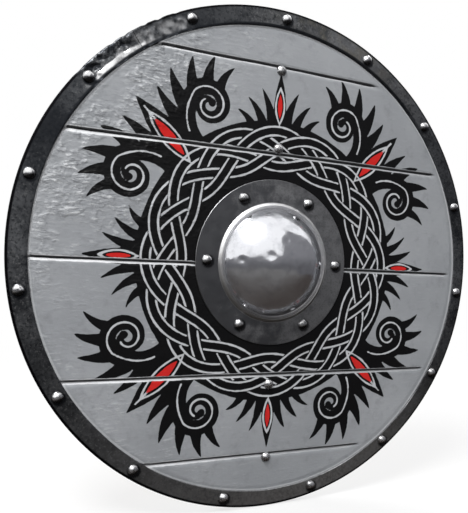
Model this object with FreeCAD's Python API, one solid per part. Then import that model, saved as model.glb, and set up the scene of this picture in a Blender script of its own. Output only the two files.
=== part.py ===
"""A round plank shield with a steel boss and a riveted steel rim.

The board stands upright: X runs along the planks, Z runs up across them, and the front faces -Y.
The origin is the middle of the hand grip. Sizes are in millimetres and angles in degrees.
"""

import FreeCAD
import Part
import math
import os

Vector = FreeCAD.Vector

# Board: six planks, edge to edge, under one circle. Each seam's height is a share of the board's radius.
shield_radius = 305.0
board_thickness = 10.0
seam_height_shares = (0.782, 0.437, -0.0165, -0.457, -0.788)
front_seam_bevel = 1.6
back_seam_bevel = 0.7
board_edge_bevel = 1.2

# Rim: one steel channel bent round the edge, whose two ends meet between two rivets.
rim_sheet = 1.5
rim_width = 22.4
rim_inside_bend_radius = 0.9
rim_board_clearance = 0.3
rim_joint_gap = 0.6
rim_joint_angle = 126.7
rim_joint_span_angle = 27.4
rim_rivet_count = 15

# Boss: a domed steel cap with a rolled bead and a flat flange, over the hand hole.
boss_sheet = 1.6
boss_dome_radius = 68.0
boss_dome_height = 39.0
boss_bead_inside_radius = 1.0
boss_flange_width = 28.2
boss_flange_chamfer = 0.5
boss_rivet_count = 6
hand_hole_shoulder = 8.0

# Grip bar: a wooden bar across the planks, swelling into a round hand grip over the hand hole.
bar_width = 27.0
bar_thickness = 9.0
bar_front_corner_radius = 0.6
bar_back_corner_radius = 3.5
bar_end_rim_clearance = 17.0
bar_end_corner_radius = 9.0
bar_end_taper_length = 11.0
bar_end_thickness = 5.5
grip_width = 31.0
grip_thickness = 23.0
grip_round_share = 0.9
grip_half_length = 50.0
swell_length = 44.0
swell_section_count = 7

# Leather sleeve on the straight part of the grip.
wrap_thickness = 1.8
wrap_end_margin = 1.0
wrap_clearance = 0.15

# Rivets and washers. The bar's rivets stand in the shield's upright middle line: the outer two
# at a distance from the bar's ends, the inner two at a distance from the nearest seam.
rivet_head_radius = 6.5
rivet_head_height = 4.6
rivet_shank_radius = 2.4
rivet_tail_radius = 4.2
rivet_tail_height = 1.8
rivet_hole_clearance = 0.12
washer_radius = 7.5
washer_thickness = 1.2
bar_top_rivet_inset = 32.6
bar_bottom_rivet_inset = 22.4
bar_upper_rivet_seam_offset = 6.4
bar_lower_rivet_seam_offset = 12.4

# Cutting tools run past the faces that they cut by this much.
overrun = 20.0

full_turn = 360.0

board_back = -grip_thickness / 2
board_front = board_back - board_thickness
board_radius = shield_radius - rim_sheet - rim_board_clearance
rim_inner_radius = shield_radius - rim_width
rim_rivet_circle_radius = (shield_radius + rim_inner_radius) / 2

boss_bead_radius = boss_bead_inside_radius + boss_sheet
boss_bead_circle_radius = boss_dome_radius + boss_bead_radius
boss_bead_outer_radius = boss_bead_circle_radius + boss_bead_radius
boss_flange_radius = boss_bead_outer_radius + boss_flange_width
boss_rivet_circle_radius = (boss_bead_outer_radius + boss_flange_radius) / 2
hand_hole_radius = boss_dome_radius - hand_hole_shoulder

seam_heights = [board_radius * share for share in seam_height_shares]
top_seam_height, upper_seam_height, middle_seam_height, lower_seam_height, bottom_seam_height = seam_heights

bar_back = board_back + bar_thickness
bar_reach = rim_inner_radius - bar_end_rim_clearance
bar_arm_start = grip_half_length + swell_length
bar_rivet_heights = [
    bar_reach - bar_top_rivet_inset,
    upper_seam_height + bar_upper_rivet_seam_offset,
    lower_seam_height - bar_lower_rivet_seam_offset,
    bar_bottom_rivet_inset - bar_reach,
]


def corner_arc(before, corner, after, radius):
    """Start, middle and end of the arc of that radius that rounds a corner."""
    to_before = (before - corner).normalize()
    to_after = (after - corner).normalize()
    half_angle = to_before.getAngle(to_after) / 2
    reach = radius / math.tan(half_angle)
    inward = (to_before + to_after).normalize()
    middle = corner + inward * (radius / math.sin(half_angle) - radius)
    return corner + to_before * reach, middle, corner + to_after * reach


def rounded_wire(corners):
    """Closed wire through corners given as (point, radius). A radius of zero leaves the corner sharp."""
    stops = []
    for index, (point, radius) in enumerate(corners):
        before = corners[index - 1][0]
        after = corners[(index + 1) % len(corners)][0]
        if radius > 0:
            stops.append(corner_arc(before, point, after, radius))
        else:
            stops.append((point, None, point))
    edges = []
    for index, (start, middle, end) in enumerate(stops):
        if middle is not None:
            edges.append(Part.Arc(start, middle, end).toShape())
        following = stops[(index + 1) % len(stops)][0]
        edges.append(Part.LineSegment(end, following).toShape())
    return Part.Wire(edges)


def at(radius, y):
    """Point of a half section: its distance from the shield's axis, and its place along Y."""
    return Vector(radius, y, 0)


def turned(wire):
    """Solid made by turning a half section about the shield's axis."""
    return Part.Face(wire).revolve(Vector(0, 0, 0), Vector(0, 1, 0), full_turn)


def round_bar(radius, front, back, x=0, z=0):
    """Cylinder parallel to the shield's axis, from y = front to y = back."""
    return Part.makeCylinder(radius, back - front, Vector(x, front, z), Vector(0, 1, 0))


def ring_places(radius, angles):
    """(x, z) of places on a circle, counted anticlockwise from +X as seen from the front."""
    turns = [math.radians(angle) for angle in angles]
    return [(radius * math.cos(turn), radius * math.sin(turn)) for turn in turns]


def rim_rivet_places():
    """Even steps all the way round, apart from the wider span where the channel's ends meet."""
    step = (full_turn - rim_joint_span_angle) / (rim_rivet_count - 1)
    first = rim_joint_angle + rim_joint_span_angle / 2
    return ring_places(rim_rivet_circle_radius, [first + step * index for index in range(rim_rivet_count)])


def boss_rivet_places():
    step = full_turn / boss_rivet_count
    return ring_places(boss_rivet_circle_radius, [step * index for index in range(boss_rivet_count)])


def bar_rivet_places():
    return [(0, height) for height in bar_rivet_heights]


def with_holes(shape, places):
    """The shape with a rivet hole cut right through it at each place."""
    radius = rivet_shank_radius + rivet_hole_clearance
    box = shape.BoundBox
    drills = [round_bar(radius, box.YMin - overrun, box.YMax + overrun, x, z) for x, z in places]
    return shape.cut(Part.makeCompound(drills))


def board_disc():
    """The outer form that the six planks share, with a bevel round both faces."""
    corners = [
        (at(0, board_front), 0),
        (at(board_radius - board_edge_bevel, board_front), 0),
        (at(board_radius, board_front + board_edge_bevel), 0),
        (at(board_radius, board_back - board_edge_bevel), 0),
        (at(board_radius - board_edge_bevel, board_back), 0),
        (at(0, board_back), 0),
    ]
    return turned(rounded_wire(corners))


def seam_groove(height, face, depth, inward):
    """Right-angled V along a seam, cut into the board's front or back face.

    inward is 1 where the board lies on the +Y side of the face, and -1 where it lies on the -Y side.
    """
    mouth = depth + overrun
    corners = [
        Vector(-shield_radius, face + inward * depth, height),
        Vector(-shield_radius, face - inward * overrun, height - mouth),
        Vector(-shield_radius, face - inward * overrun, height + mouth),
        Vector(-shield_radius, face + inward * depth, height),
    ]
    return Part.Face(Part.makePolygon(corners)).extrude(Vector(2 * shield_radius, 0, 0))


def make_planks():
    """The six planks, from the top one down."""
    names = ["top_plank", "upper_plank", "upper_middle_plank", "lower_middle_plank", "lower_plank", "bottom_plank"]
    heights = [shield_radius] + seam_heights + [-shield_radius]
    grooves = []
    for height in seam_heights:
        grooves.append(seam_groove(height, board_front, front_seam_bevel, 1))
        grooves.append(seam_groove(height, board_back, back_seam_bevel, -1))
    hand_hole = round_bar(hand_hole_radius, board_front - overrun, board_back + overrun)
    board = board_disc().cut(Part.makeCompound(grooves)).cut(hand_hole)
    board = with_holes(board, rim_rivet_places() + boss_rivet_places() + bar_rivet_places())
    planks = {}
    for name, high, low in zip(names, heights, heights[1:]):
        corner = Vector(-shield_radius, board_front - overrun, low)
        slab = Part.makeBox(2 * shield_radius, board_thickness + 2 * overrun, high - low, corner)
        planks[name] = board.common(slab)
    return planks


def make_rim():
    """Channel section, turned round the edge, with a saw cut where its ends meet."""
    front = board_front - rim_sheet
    back = board_back + rim_sheet
    web_inside = shield_radius - rim_sheet
    outside_bend_radius = rim_inside_bend_radius + rim_sheet
    corners = [
        (at(rim_inner_radius, front), 0),
        (at(shield_radius, front), outside_bend_radius),
        (at(shield_radius, back), outside_bend_radius),
        (at(rim_inner_radius, back), 0),
        (at(rim_inner_radius, board_back), 0),
        (at(web_inside, board_back), rim_inside_bend_radius),
        (at(web_inside, board_front), rim_inside_bend_radius),
        (at(rim_inner_radius, board_front), 0),
    ]
    channel = turned(rounded_wire(corners))
    depth = back - front
    corner = Vector(rim_inner_radius - overrun, front - overrun, -rim_joint_gap / 2)
    saw = Part.makeBox(rim_width + 2 * overrun, depth + 2 * overrun, rim_joint_gap, corner)
    saw.rotate(Vector(0, 0, 0), Vector(0, 1, 0), -rim_joint_angle)
    return with_holes(channel.cut(saw), rim_rivet_places())


def cap_sphere(base_radius, height):
    """Radius of the sphere whose cap has this base radius and height."""
    return (base_radius ** 2 + height ** 2) / (2 * height)


def make_boss():
    """Sheet steel of one thickness: flange, rolled bead and dome, turned about the axis."""
    under = board_front
    top = board_front - boss_sheet
    bead_in = boss_bead_circle_radius - boss_bead_inside_radius
    bead_out = boss_bead_circle_radius + boss_bead_inside_radius
    # The dome's outer face is part of a sphere, and its inner face is one sheet inside that.
    sphere = cap_sphere(boss_dome_radius, boss_dome_height)
    centre = top - boss_dome_height + sphere
    inner_sphere = sphere - boss_sheet
    inner_base = math.sqrt(inner_sphere ** 2 - (centre - under) ** 2)
    half_way = math.atan2(boss_dome_radius, centre - top) / 2
    inner_half_way = math.atan2(inner_base, centre - under) / 2

    def on_sphere(radius, angle):
        return at(radius * math.sin(angle), centre - radius * math.cos(angle))

    dome_foot = at(boss_dome_radius, top)
    crown = on_sphere(sphere, 0)
    inner_crown = on_sphere(inner_sphere, 0)
    inner_foot = at(inner_base, under)
    flange_side = at(boss_flange_radius, top + boss_flange_chamfer)
    flange_top = at(boss_flange_radius - boss_flange_chamfer, top)
    outer_face = [
        Part.LineSegment(at(boss_flange_radius, under), flange_side),
        Part.LineSegment(flange_side, flange_top),
        Part.LineSegment(flange_top, at(boss_bead_outer_radius, top)),
        Part.Arc(at(boss_bead_outer_radius, top), at(boss_bead_circle_radius, top - boss_bead_radius), dome_foot),
        Part.Arc(dome_foot, on_sphere(sphere, half_way), crown),
    ]
    inner_face = [
        Part.LineSegment(crown, inner_crown),
        Part.Arc(inner_crown, on_sphere(inner_sphere, inner_half_way), inner_foot),
        Part.LineSegment(inner_foot, at(bead_in, under)),
        Part.LineSegment(at(bead_in, under), at(bead_in, top)),
        Part.Arc(at(bead_in, top), at(boss_bead_circle_radius, top - boss_bead_inside_radius), at(bead_out, top)),
        Part.LineSegment(at(bead_out, top), at(bead_out, under)),
        Part.LineSegment(at(bead_out, under), at(boss_flange_radius, under)),
    ]
    cap = turned(Part.Wire([edge.toShape() for edge in outer_face + inner_face]))
    return with_holes(cap, boss_rivet_places())


def between(low, high, share):
    return low + (high - low) * share


def grip_section(height, grow=0):
    """Level outline of the bar at a height, grown outwards by a distance.

    It is the full grip up to grip_half_length, and falls to the arm's section in half a cosine wave.
    """
    past_share = min(max((abs(height) - grip_half_length) / swell_length, 0), 1)
    swell_share = (1 + math.cos(math.pi * past_share)) / 2
    width = between(bar_width, grip_width, swell_share)
    thickness = between(bar_thickness, grip_thickness, swell_share)
    grip_corner = grip_round_share * min(grip_width, grip_thickness) / 2
    front_corner = between(bar_front_corner_radius, grip_corner, swell_share) + grow
    back_corner = between(bar_back_corner_radius, grip_corner, swell_share) + grow
    half = width / 2 + grow
    front = board_back - grow
    back = board_back + thickness + grow
    corners = [
        (Vector(-half, front, height), front_corner),
        (Vector(half, front, height), front_corner),
        (Vector(half, back, height), back_corner),
        (Vector(-half, back, height), back_corner),
    ]
    return rounded_wire(corners)


def straight_grip(half_length, grow=0):
    """Straight body with the full grip's section, from -half_length to +half_length."""
    section = grip_section(0, grow)
    section.translate(Vector(0, 0, -half_length))
    return Part.Face(section).extrude(Vector(0, 0, 2 * half_length))


def bar_swell(side):
    """Smooth body through evenly spaced sections, from the grip's end to the arm's start."""
    step = swell_length / (swell_section_count - 1)
    heights = [side * (grip_half_length + step * index) for index in range(swell_section_count)]
    return Part.makeLoft([grip_section(height) for height in heights], True, False)


def bar_arm(side):
    """One straight arm, where its section, its rounded plan and its tapered profile all meet.

    side is 1 for the upper arm and -1 for the lower one.
    """
    half = bar_width / 2
    start = side * bar_arm_start
    end = side * bar_reach
    taper_start = side * (bar_reach - bar_end_taper_length)
    section = Part.Face(grip_section(start)).extrude(Vector(0, 0, end - start))
    plan_corners = [
        (Vector(-half, board_back, start), 0),
        (Vector(half, board_back, start), 0),
        (Vector(half, board_back, end), bar_end_corner_radius),
        (Vector(-half, board_back, end), bar_end_corner_radius),
    ]
    plan = Part.Face(rounded_wire(plan_corners)).extrude(Vector(0, bar_thickness, 0))
    profile_corners = [
        (Vector(-half, board_back, start), 0),
        (Vector(-half, board_back, end), 0),
        (Vector(-half, board_back + bar_end_thickness, end), 0),
        (Vector(-half, bar_back, taper_start), 0),
        (Vector(-half, bar_back, start), 0),
    ]
    profile = Part.Face(rounded_wire(profile_corners)).extrude(Vector(bar_width, 0, 0))
    return section.common(plan).common(profile)


def make_grip_bar():
    """The grip, its two swells and the two arms in one piece, drilled for the bar's rivets."""
    lengths = [bar_swell(1), bar_swell(-1), bar_arm(1), bar_arm(-1)]
    bar = straight_grip(grip_half_length).multiFuse(lengths).removeSplitter()
    return with_holes(bar, bar_rivet_places())


def make_grip_wrap():
    """Leather sleeve round the grip, with a small gap under it."""
    half_length = grip_half_length - wrap_end_margin
    outer = straight_grip(half_length, wrap_clearance + wrap_thickness)
    inner = straight_grip(half_length + overrun, wrap_clearance)
    return outer.cut(inner)


def rivet(head_seat, tail_seat, x, z):
    """Domed rivet whose head sits at y = head_seat and whose hammered tail sits at y = tail_seat."""
    head_sphere = cap_sphere(rivet_head_radius, rivet_head_height)
    head_centre = head_seat - rivet_head_height + head_sphere
    head_angle = math.atan2(rivet_head_radius, head_centre - head_seat) / 2
    tail_sphere = cap_sphere(rivet_tail_radius, rivet_tail_height)
    tail_centre = tail_seat + rivet_tail_height - tail_sphere
    tail_angle = math.atan2(rivet_tail_radius, tail_seat - tail_centre) / 2
    head_top = at(0, head_seat - rivet_head_height)
    head_middle = at(head_sphere * math.sin(head_angle), head_centre - head_sphere * math.cos(head_angle))
    head_edge = at(rivet_head_radius, head_seat)
    neck = at(rivet_shank_radius, head_seat)
    root = at(rivet_shank_radius, tail_seat)
    tail_edge = at(rivet_tail_radius, tail_seat)
    tail_middle = at(tail_sphere * math.sin(tail_angle), tail_centre + tail_sphere * math.cos(tail_angle))
    tail_top = at(0, tail_seat + rivet_tail_height)
    edges = [
        Part.Arc(head_top, head_middle, head_edge),
        Part.LineSegment(head_edge, neck),
        Part.LineSegment(neck, root),
        Part.LineSegment(root, tail_edge),
        Part.Arc(tail_edge, tail_middle, tail_top),
        Part.LineSegment(tail_top, head_top),
    ]
    solid = turned(Part.Wire([edge.toShape() for edge in edges]))
    solid.translate(Vector(x, 0, z))
    return solid


def rivet_group(head_seat, tail_seat, places):
    return Part.makeCompound([rivet(head_seat, tail_seat, x, z) for x, z in places])


def washer_group(seat, places):
    """Flat round washers, one under the tail of the rivet at each place."""
    discs = [round_bar(washer_radius, seat, seat + washer_thickness, x, z) for x, z in places]
    return Part.makeCompound([with_holes(disc, [place]) for disc, place in zip(discs, places)])


def make_parts():
    """Every piece by name."""
    parts = make_planks()
    parts["rim_channel"] = make_rim()
    parts["boss"] = make_boss()
    parts["grip_bar"] = make_grip_bar()
    parts["grip_wrap"] = make_grip_wrap()
    parts["rim_rivets"] = rivet_group(board_front - rim_sheet, board_back + rim_sheet, rim_rivet_places())
    boss_tail_seat = board_back + washer_thickness
    parts["boss_rivets"] = rivet_group(board_front - boss_sheet, boss_tail_seat, boss_rivet_places())
    parts["boss_washers"] = washer_group(board_back, boss_rivet_places())
    parts["bar_rivets"] = rivet_group(board_front, bar_back + washer_thickness, bar_rivet_places())
    parts["bar_washers"] = washer_group(bar_back, bar_rivet_places())
    return parts


def main():
    os.makedirs("parts", exist_ok=True)
    for name, shape in make_parts().items():
        shape.exportStep(os.path.join("parts", name + ".step"))
        print(name, len(shape.Solids), "solid(s), volume", round(shape.Volume), "valid", shape.isValid())


main()
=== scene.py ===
# %% [markdown]
# # A round plank shield
# Six wooden planks stand edge to edge under one circle. A folded steel rim holds them, a domed steel boss
# covers the hand hole, and a wooden bar with a leather sleeve is the grip behind it. This lesson starts
# from a frame: solids at their real size, which say where every piece goes. Each cell makes the finished
# surface of one kind of piece.

# %% Load the frame
import math

import bpy
import numpy as np
from mathutils import Matrix, Vector


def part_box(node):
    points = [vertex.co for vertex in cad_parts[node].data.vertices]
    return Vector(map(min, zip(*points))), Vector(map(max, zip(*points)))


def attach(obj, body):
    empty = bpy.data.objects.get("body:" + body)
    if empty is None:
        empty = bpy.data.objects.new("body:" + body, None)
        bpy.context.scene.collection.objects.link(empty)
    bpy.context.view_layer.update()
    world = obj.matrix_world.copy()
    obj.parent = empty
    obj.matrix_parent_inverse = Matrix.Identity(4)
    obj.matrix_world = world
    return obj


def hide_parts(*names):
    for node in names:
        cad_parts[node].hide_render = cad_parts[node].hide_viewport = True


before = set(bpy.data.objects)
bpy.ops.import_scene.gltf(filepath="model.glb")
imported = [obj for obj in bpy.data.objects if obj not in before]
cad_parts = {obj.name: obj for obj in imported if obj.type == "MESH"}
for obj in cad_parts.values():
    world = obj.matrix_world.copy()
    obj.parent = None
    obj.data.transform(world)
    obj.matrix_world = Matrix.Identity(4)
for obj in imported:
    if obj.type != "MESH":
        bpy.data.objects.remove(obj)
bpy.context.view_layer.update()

# %% [markdown]
# Blender works in metres, and a shield maker in millimetres: `3 * mm` is a length in metres. Sizes that
# other pieces have to meet are read from the frame, so that nothing is typed twice. X runs along the
# planks, Z up across them, and the front looks towards -Y.

# %% Sizes from the frame
mm = 0.001
full_turn = 2 * math.pi
plank_nodes = [
    "top_plank", "upper_plank", "upper_middle_plank",
    "lower_middle_plank", "lower_plank", "bottom_plank",
]

rim_low, rim_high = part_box("rim_channel")
boss_low, boss_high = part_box("boss")
middle_low, middle_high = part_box("upper_middle_plank")
wrap_low, wrap_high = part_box("grip_wrap")
bar_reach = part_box("grip_bar")[1].z

shield_radius = rim_high.x
rim_front, rim_back = rim_low.y, rim_high.y
board_radius = middle_high.x
board_front, board_back = middle_low.y, middle_high.y
boss_flange_radius, boss_crown = boss_high.x, boss_low.y
print("shield", round(2 * shield_radius / mm), "mm across")
print("board", round((board_back - board_front) / mm, 1), "mm thick")

# %% [markdown]
# Rivets hold the steel and the grip to the board. They could be placed one by one, but they stand on
# circles and on a line, so a few numbers give all the places. Other pieces are dirty near them, which is
# why the places come first.

# %% Where the rivets are
rim_inner_inset = 22.4 * mm
rim_joint_deg, rim_joint_span_deg = 126.7, 27.4
rim_rivet_count, boss_rivet_count = 15, 6
bead_middle, bead_radius = 70.6 * mm, 2.6 * mm
bar_rivet_heights = np.array([233.0, 138.9, -151.0, -243.2]) * mm


def ring_places(radius, first_deg, step_deg, count):
    """x = radius times cosine and z = radius times sine, anticlockwise from +X as seen from the front."""
    angle = np.radians(first_deg + step_deg * np.arange(count))
    return np.stack([radius * np.cos(angle), radius * np.sin(angle)], axis=1)


rim_low_radius = shield_radius - rim_inner_inset
rim_rivet_circle = shield_radius - rim_inner_inset / 2
rim_step_deg = (360 - rim_joint_span_deg) / (rim_rivet_count - 1)
rim_first_deg = rim_joint_deg + rim_joint_span_deg / 2
rim_places = ring_places(rim_rivet_circle, rim_first_deg, rim_step_deg, rim_rivet_count)
boss_rivet_circle = (bead_middle + bead_radius + boss_flange_radius) / 2
boss_places = ring_places(boss_rivet_circle, 0, 360 / boss_rivet_count, boss_rivet_count)
bar_places = np.stack([np.zeros(len(bar_rivet_heights)), bar_rivet_heights], axis=1)
print("rivets on circles of", round(rim_rivet_circle / mm, 1), "and", round(boss_rivet_circle / mm, 1), "mm")

# %% [markdown]
# Much of what follows is a share, a number from 0 to 1: how worn, how dirty, how near an edge. A hard jump
# would show as a line, so each share eases in and out.

# %% Shares


def smooth_step(share):
    """Three share squared less two share cubed, with the share held between 0 and 1."""
    share = np.clip(share, 0, 1)
    return share * share * (3 - 2 * share)


def rise(value, start, width):
    """A smooth step from 0 at the start to 1 one width further on. A negative width makes it fall instead."""
    return smooth_step((value - start) / width)


def at_least(least, share):
    """The share squeezed into the range from the least to 1: the least, plus the rest times the share."""
    return least + (1 - least) * share


print("a rise from 2 to 4, at 2, 3 and 4:", rise(np.array([2.0, 3.0, 4.0]), 2.0, 2.0))

# %% [markdown]
# A finished surface is never quite even. Blender's Displace modifier could do that, but the same noise also
# has to say where dirt and wear go, so it is worked out in numpy. In value noise every whole-numbered point
# of a lattice gets a random height, and between them the heights are blended. It is the same in every run.

# %% Smooth random heights
lattice_spin = (127.1, 311.7, 74.7, 43758.5)


def lattice_height(i, j, seed):
    """Random height from -1 to 1 of a lattice point: the fraction of a large multiple of a sine."""
    value = np.sin(i * lattice_spin[0] + j * lattice_spin[1] + seed * lattice_spin[2]) * lattice_spin[3]
    return 2 * (value - np.floor(value)) - 1


def uneven(u, v, seed):
    """Value noise: the four heights round a point, mixed by the smooth step of its place between them."""
    i, j = np.floor(u), np.floor(v)
    a, b = smooth_step(u - i), smooth_step(v - j)
    low = lattice_height(i, j, seed) * (1 - a) + lattice_height(i + 1, j, seed) * a
    high = lattice_height(i, j + 1, seed) * (1 - a) + lattice_height(i + 1, j + 1, seed) * a
    return low * (1 - b) + high * b


def uneven_over(x, z, size, seed):
    """Value noise whose lattice points are that far apart. A pair of sizes draws it out along one axis."""
    size_x, size_z = np.broadcast_to(size, 2)
    return uneven(x / size_x, z / size_z, seed)


def uneven_along(x, size, seed):
    """Value noise that changes along one direction only."""
    return uneven(x / size, np.full(x.shape, 0.5), seed)


print("noise at three places:", uneven(np.array([0.2, 3.7, 9.1]), np.array([0.4, 2.2, 5.0]), 1).round(3))

# %% [markdown]
# Every piece is a grid of points: a function of two numbers, worked out for the whole grid in one go.
# Blender's cylinders and bevels could make the plain forms, but not the dents and the wear that follow
# them. These helpers number the faces of a grid, and weld points that fall on each other.

# %% Faces of a grid
weld_distance = 0.0001 * mm


def grid_faces(rows, columns, close_rows=False, close_columns=False):
    """Four corners of each cell of a grid whose point in row i and column j has the number i * columns + j."""
    i, j = np.meshgrid(np.arange(rows), np.arange(columns), indexing="ij")
    number = i * columns + j
    if close_rows:
        number = np.vstack([number, number[:1]])
    if close_columns:
        number = np.hstack([number, number[:, :1]])
    cells = [number[:-1, :-1], number[:-1, 1:], number[1:, 1:], number[1:, :-1]]
    return np.stack([cell.ravel() for cell in cells], axis=1)


def weld(points, faces):
    """Points that share a place become one. Also gives which of the old points each new one was."""
    keys = np.round(points / weld_distance).astype(np.int64)
    _, first, where = np.unique(keys, axis=0, return_index=True, return_inverse=True)
    return points[first], where.reshape(-1)[faces], first


def outline_edges(faces):
    """The edges that only one face has. Each runs the way that face goes round."""
    starts = faces.ravel()
    ends = np.roll(faces, -1, axis=1).ravel()
    starts, ends = starts[starts != ends], ends[starts != ends]
    count = faces.max() + 1
    alone = ~np.isin(starts * count + ends, ends * count + starts)
    return starts[alone], ends[alone]


def facing_outwards(points, faces):
    """Turns every face over if the signed volume of the tetrahedra under the faces is negative."""
    a, b, c, d = (points[faces[:, k]] for k in range(4))
    volume = np.einsum("ij,ij->", a, np.cross(b, c)) + np.einsum("ij,ij->", a, np.cross(c, d))
    return faces if volume > 0 else faces[:, ::-1]


print("a closed grid of 3 by 4 points has", len(grid_faces(3, 4, True, True)), "faces")

# %% [markdown]
# A mesh could be filled vertex by vertex, but whole arrays are much faster. A face whose corners were
# welded becomes a triangle, or goes if only two are left. A mesh can keep named numbers at its points, here
# called fields, and materials can read them: that is how wear knows where it is.

# %% A piece from a grid
sharp_angle = math.radians(38)


def mesh_from(name, points, faces, kept):
    """All points, then the kept corners of every face in one row, then where in that row each face starts."""
    sizes = kept.sum(axis=1)
    mesh = bpy.data.meshes.new(name)
    mesh.vertices.add(len(points))
    mesh.vertices.foreach_set("co", points.astype(np.float32).ravel())
    mesh.loops.add(int(sizes.sum()))
    mesh.loops.foreach_set("vertex_index", faces[kept].astype(np.int32))
    mesh.polygons.add(len(sizes))
    mesh.polygons.foreach_set("loop_start", (np.cumsum(sizes) - sizes).astype(np.int32))
    mesh.polygons.foreach_set("use_smooth", np.ones(len(sizes), bool))
    return mesh


def make_piece(name, node, points, faces, finishes, finish_of_face=None, fields=None):
    """A closed mesh that stands for a node: welded, facing outwards, with its materials and fields."""
    points, faces, first = weld(points.reshape(-1, 3), faces)
    faces = facing_outwards(points, faces)
    kept = faces != np.roll(faces, -1, axis=1)
    whole = kept.sum(axis=1) > 2
    mesh = mesh_from(name, points, faces[whole], kept[whole])
    if finish_of_face is not None:
        mesh.polygons.foreach_set("material_index", finish_of_face[whole].astype(np.int32))
    for finish in finishes:
        mesh.materials.append(finish)
    for field_name, values in (fields or {}).items():
        attribute = mesh.attributes.new(field_name, "FLOAT", "POINT")
        attribute.data.foreach_set("value", values.ravel()[first].astype(np.float32))
    mesh.update(calc_edges=True)
    mesh.set_sharp_from_angle(angle=sharp_angle)
    piece = bpy.data.objects.new(name, mesh)
    bpy.context.scene.collection.objects.link(piece)
    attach(piece, "root")
    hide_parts(node)
    print(name, len(points), "points,", int(kept[whole].sum() - 2 * whole.sum()), "triangles")


# %% [markdown]
# Most outlines below are drawn from two strokes: a straight line and part of a circle.

# %% Lines and arcs


def line(start, end, count):
    """Even steps from start to end, both included."""
    share = np.linspace(0, 1, count)[:, None]
    return np.array(start) * (1 - share) + np.array(end) * share


def arc(centre, radius, start, end, count):
    """Centre plus radius times the cosine and sine of angles that run from start to end, in degrees."""
    angle = np.radians(np.linspace(start, end, count))
    return np.array(centre) + radius * np.stack([np.cos(angle), np.sin(angle)], axis=1)


print("a quarter circle in three points:", arc((0, 0), 1.0, 0, 90, count=3).round(3).tolist())

# %% [markdown]
# The camera stands where the photographer stood, a little to the left and quite close. It could be moved by
# eye, but the rim, the rivets and the seams are at known places, so a camera model was fitted to them. The
# rows of a turn matrix are the camera's own right, up and backward directions.

# %% Camera
picture_width, picture_height = 468, 513
sensor_width = 36.0
focal_length_px = 525.9
optical_axis_row = 296.5
camera_turns = {"yaw": 21.82, "pitch": 2.55, "roll": -2.20}
board_seen_at = np.array([49.0, 41.3, -648.9]) * mm
nearest_seen = 10 * mm


def camera_turn(yaw, pitch, roll):
    """Roll about the view axis, times pitch about the level axis, times yaw about the upright axis."""
    y, p, r = (math.radians(angle) for angle in (yaw, pitch, roll))
    yaw_turn = np.array([[math.cos(y), 0, math.sin(y)], [0, 1, 0], [-math.sin(y), 0, math.cos(y)]])
    pitch_turn = np.array([[1, 0, 0], [0, math.cos(p), -math.sin(p)], [0, math.sin(p), math.cos(p)]])
    roll_turn = np.array([[math.cos(r), -math.sin(r), 0], [math.sin(r), math.cos(r), 0], [0, 0, 1]])
    return roll_turn @ pitch_turn @ yaw_turn


# Columns: where the board's right, up and outward directions point in the scene.
board_axes = np.array([[1, 0, 0], [0, 0, -1], [0, 1, 0]])
turn = camera_turn(**camera_turns)
camera_place = board_axes @ (-turn.T @ board_seen_at) + np.array([0, board_front, 0])
longer_side = max(picture_width, picture_height)

camera_data = bpy.data.cameras.new("photo_camera")
camera_data.sensor_width = sensor_width
camera_data.lens = focal_length_px / longer_side * sensor_width
camera_data.shift_y = (optical_axis_row - picture_height / 2) / longer_side
camera_data.clip_start = nearest_seen
camera = bpy.data.objects.new("photo_camera", camera_data)
camera.matrix_world = Matrix.Translation(camera_place) @ Matrix((board_axes @ turn.T).tolist()).to_4x4()
bpy.context.scene.collection.objects.link(camera)
bpy.context.scene.camera = camera
print("camera at", camera_place.round(3), "lens", round(camera_data.lens, 1), "mm")

# %% [markdown]
# Materials in Blender are networks of nodes, usually drawn with the mouse. Written as code they need a few
# helpers: one adds a node and plugs in its inputs, the others do arithmetic and mix colours. A range below
# is the value where a layer starts and the value where it is whole, sometimes followed by the share at
# either end.

# %% Helpers for node trees


def plug(tree, value, socket):
    """Links a value that comes out of another node, and types in any other value."""
    if isinstance(value, bpy.types.NodeSocket):
        tree.links.new(value, socket)
    else:
        socket.default_value = value


def add(tree, kind, inputs, **settings):
    """Adds a shader node of that kind and gives its outputs."""
    node = tree.nodes.new("ShaderNode" + kind)
    for name, value in settings.items():
        setattr(node, name, value)
    for name, value in inputs.items():
        plug(tree, value, node.inputs[name])
    return node.outputs


def calc(tree, operation, *values):
    """One step of arithmetic, such as ADD or SINE."""
    return add(tree, "Math", dict(enumerate(values)), operation=operation)[0]


def times(tree, first, second):
    """The product of two numbers."""
    return calc(tree, "MULTIPLY", first, second)


def scaled(tree, value, factor, start):
    """The value times the factor, plus the start."""
    return calc(tree, "MULTIPLY_ADD", value, factor, start)


def vector_step(tree, operation, first, second):
    """One step of arithmetic on vectors."""
    return add(tree, "VectorMath", {0: first, 1: second}, operation=operation)[0]


def remap(tree, value, low, high, to_low=0.0, to_high=1.0):
    """Low becomes to_low and high becomes to_high, with a smooth step between and nothing beyond."""
    inputs = {"Value": value, "From Min": low, "From Max": high, "To Min": to_low, "To Max": to_high}
    return add(tree, "MapRange", inputs, interpolation_type="SMOOTHSTEP")[0]


def mixed(tree, share, first, second):
    """The first colour where the share is 0, and the second where it is 1."""
    return add(tree, "Mix", {0: share, 6: first, 7: second}, data_type="RGBA")[2]


def layered(tree, base, layers):
    """A base colour with more colours laid over it in turn. Each layer is its share and its colour."""
    for share, colour in layers:
        base = mixed(tree, share, base, colour)
    return base


def grey(level):
    """A colour with the same red, green and blue."""
    return (level, level, level, 1.0)


print("a grey of 0.5:", grey(0.5))

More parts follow.
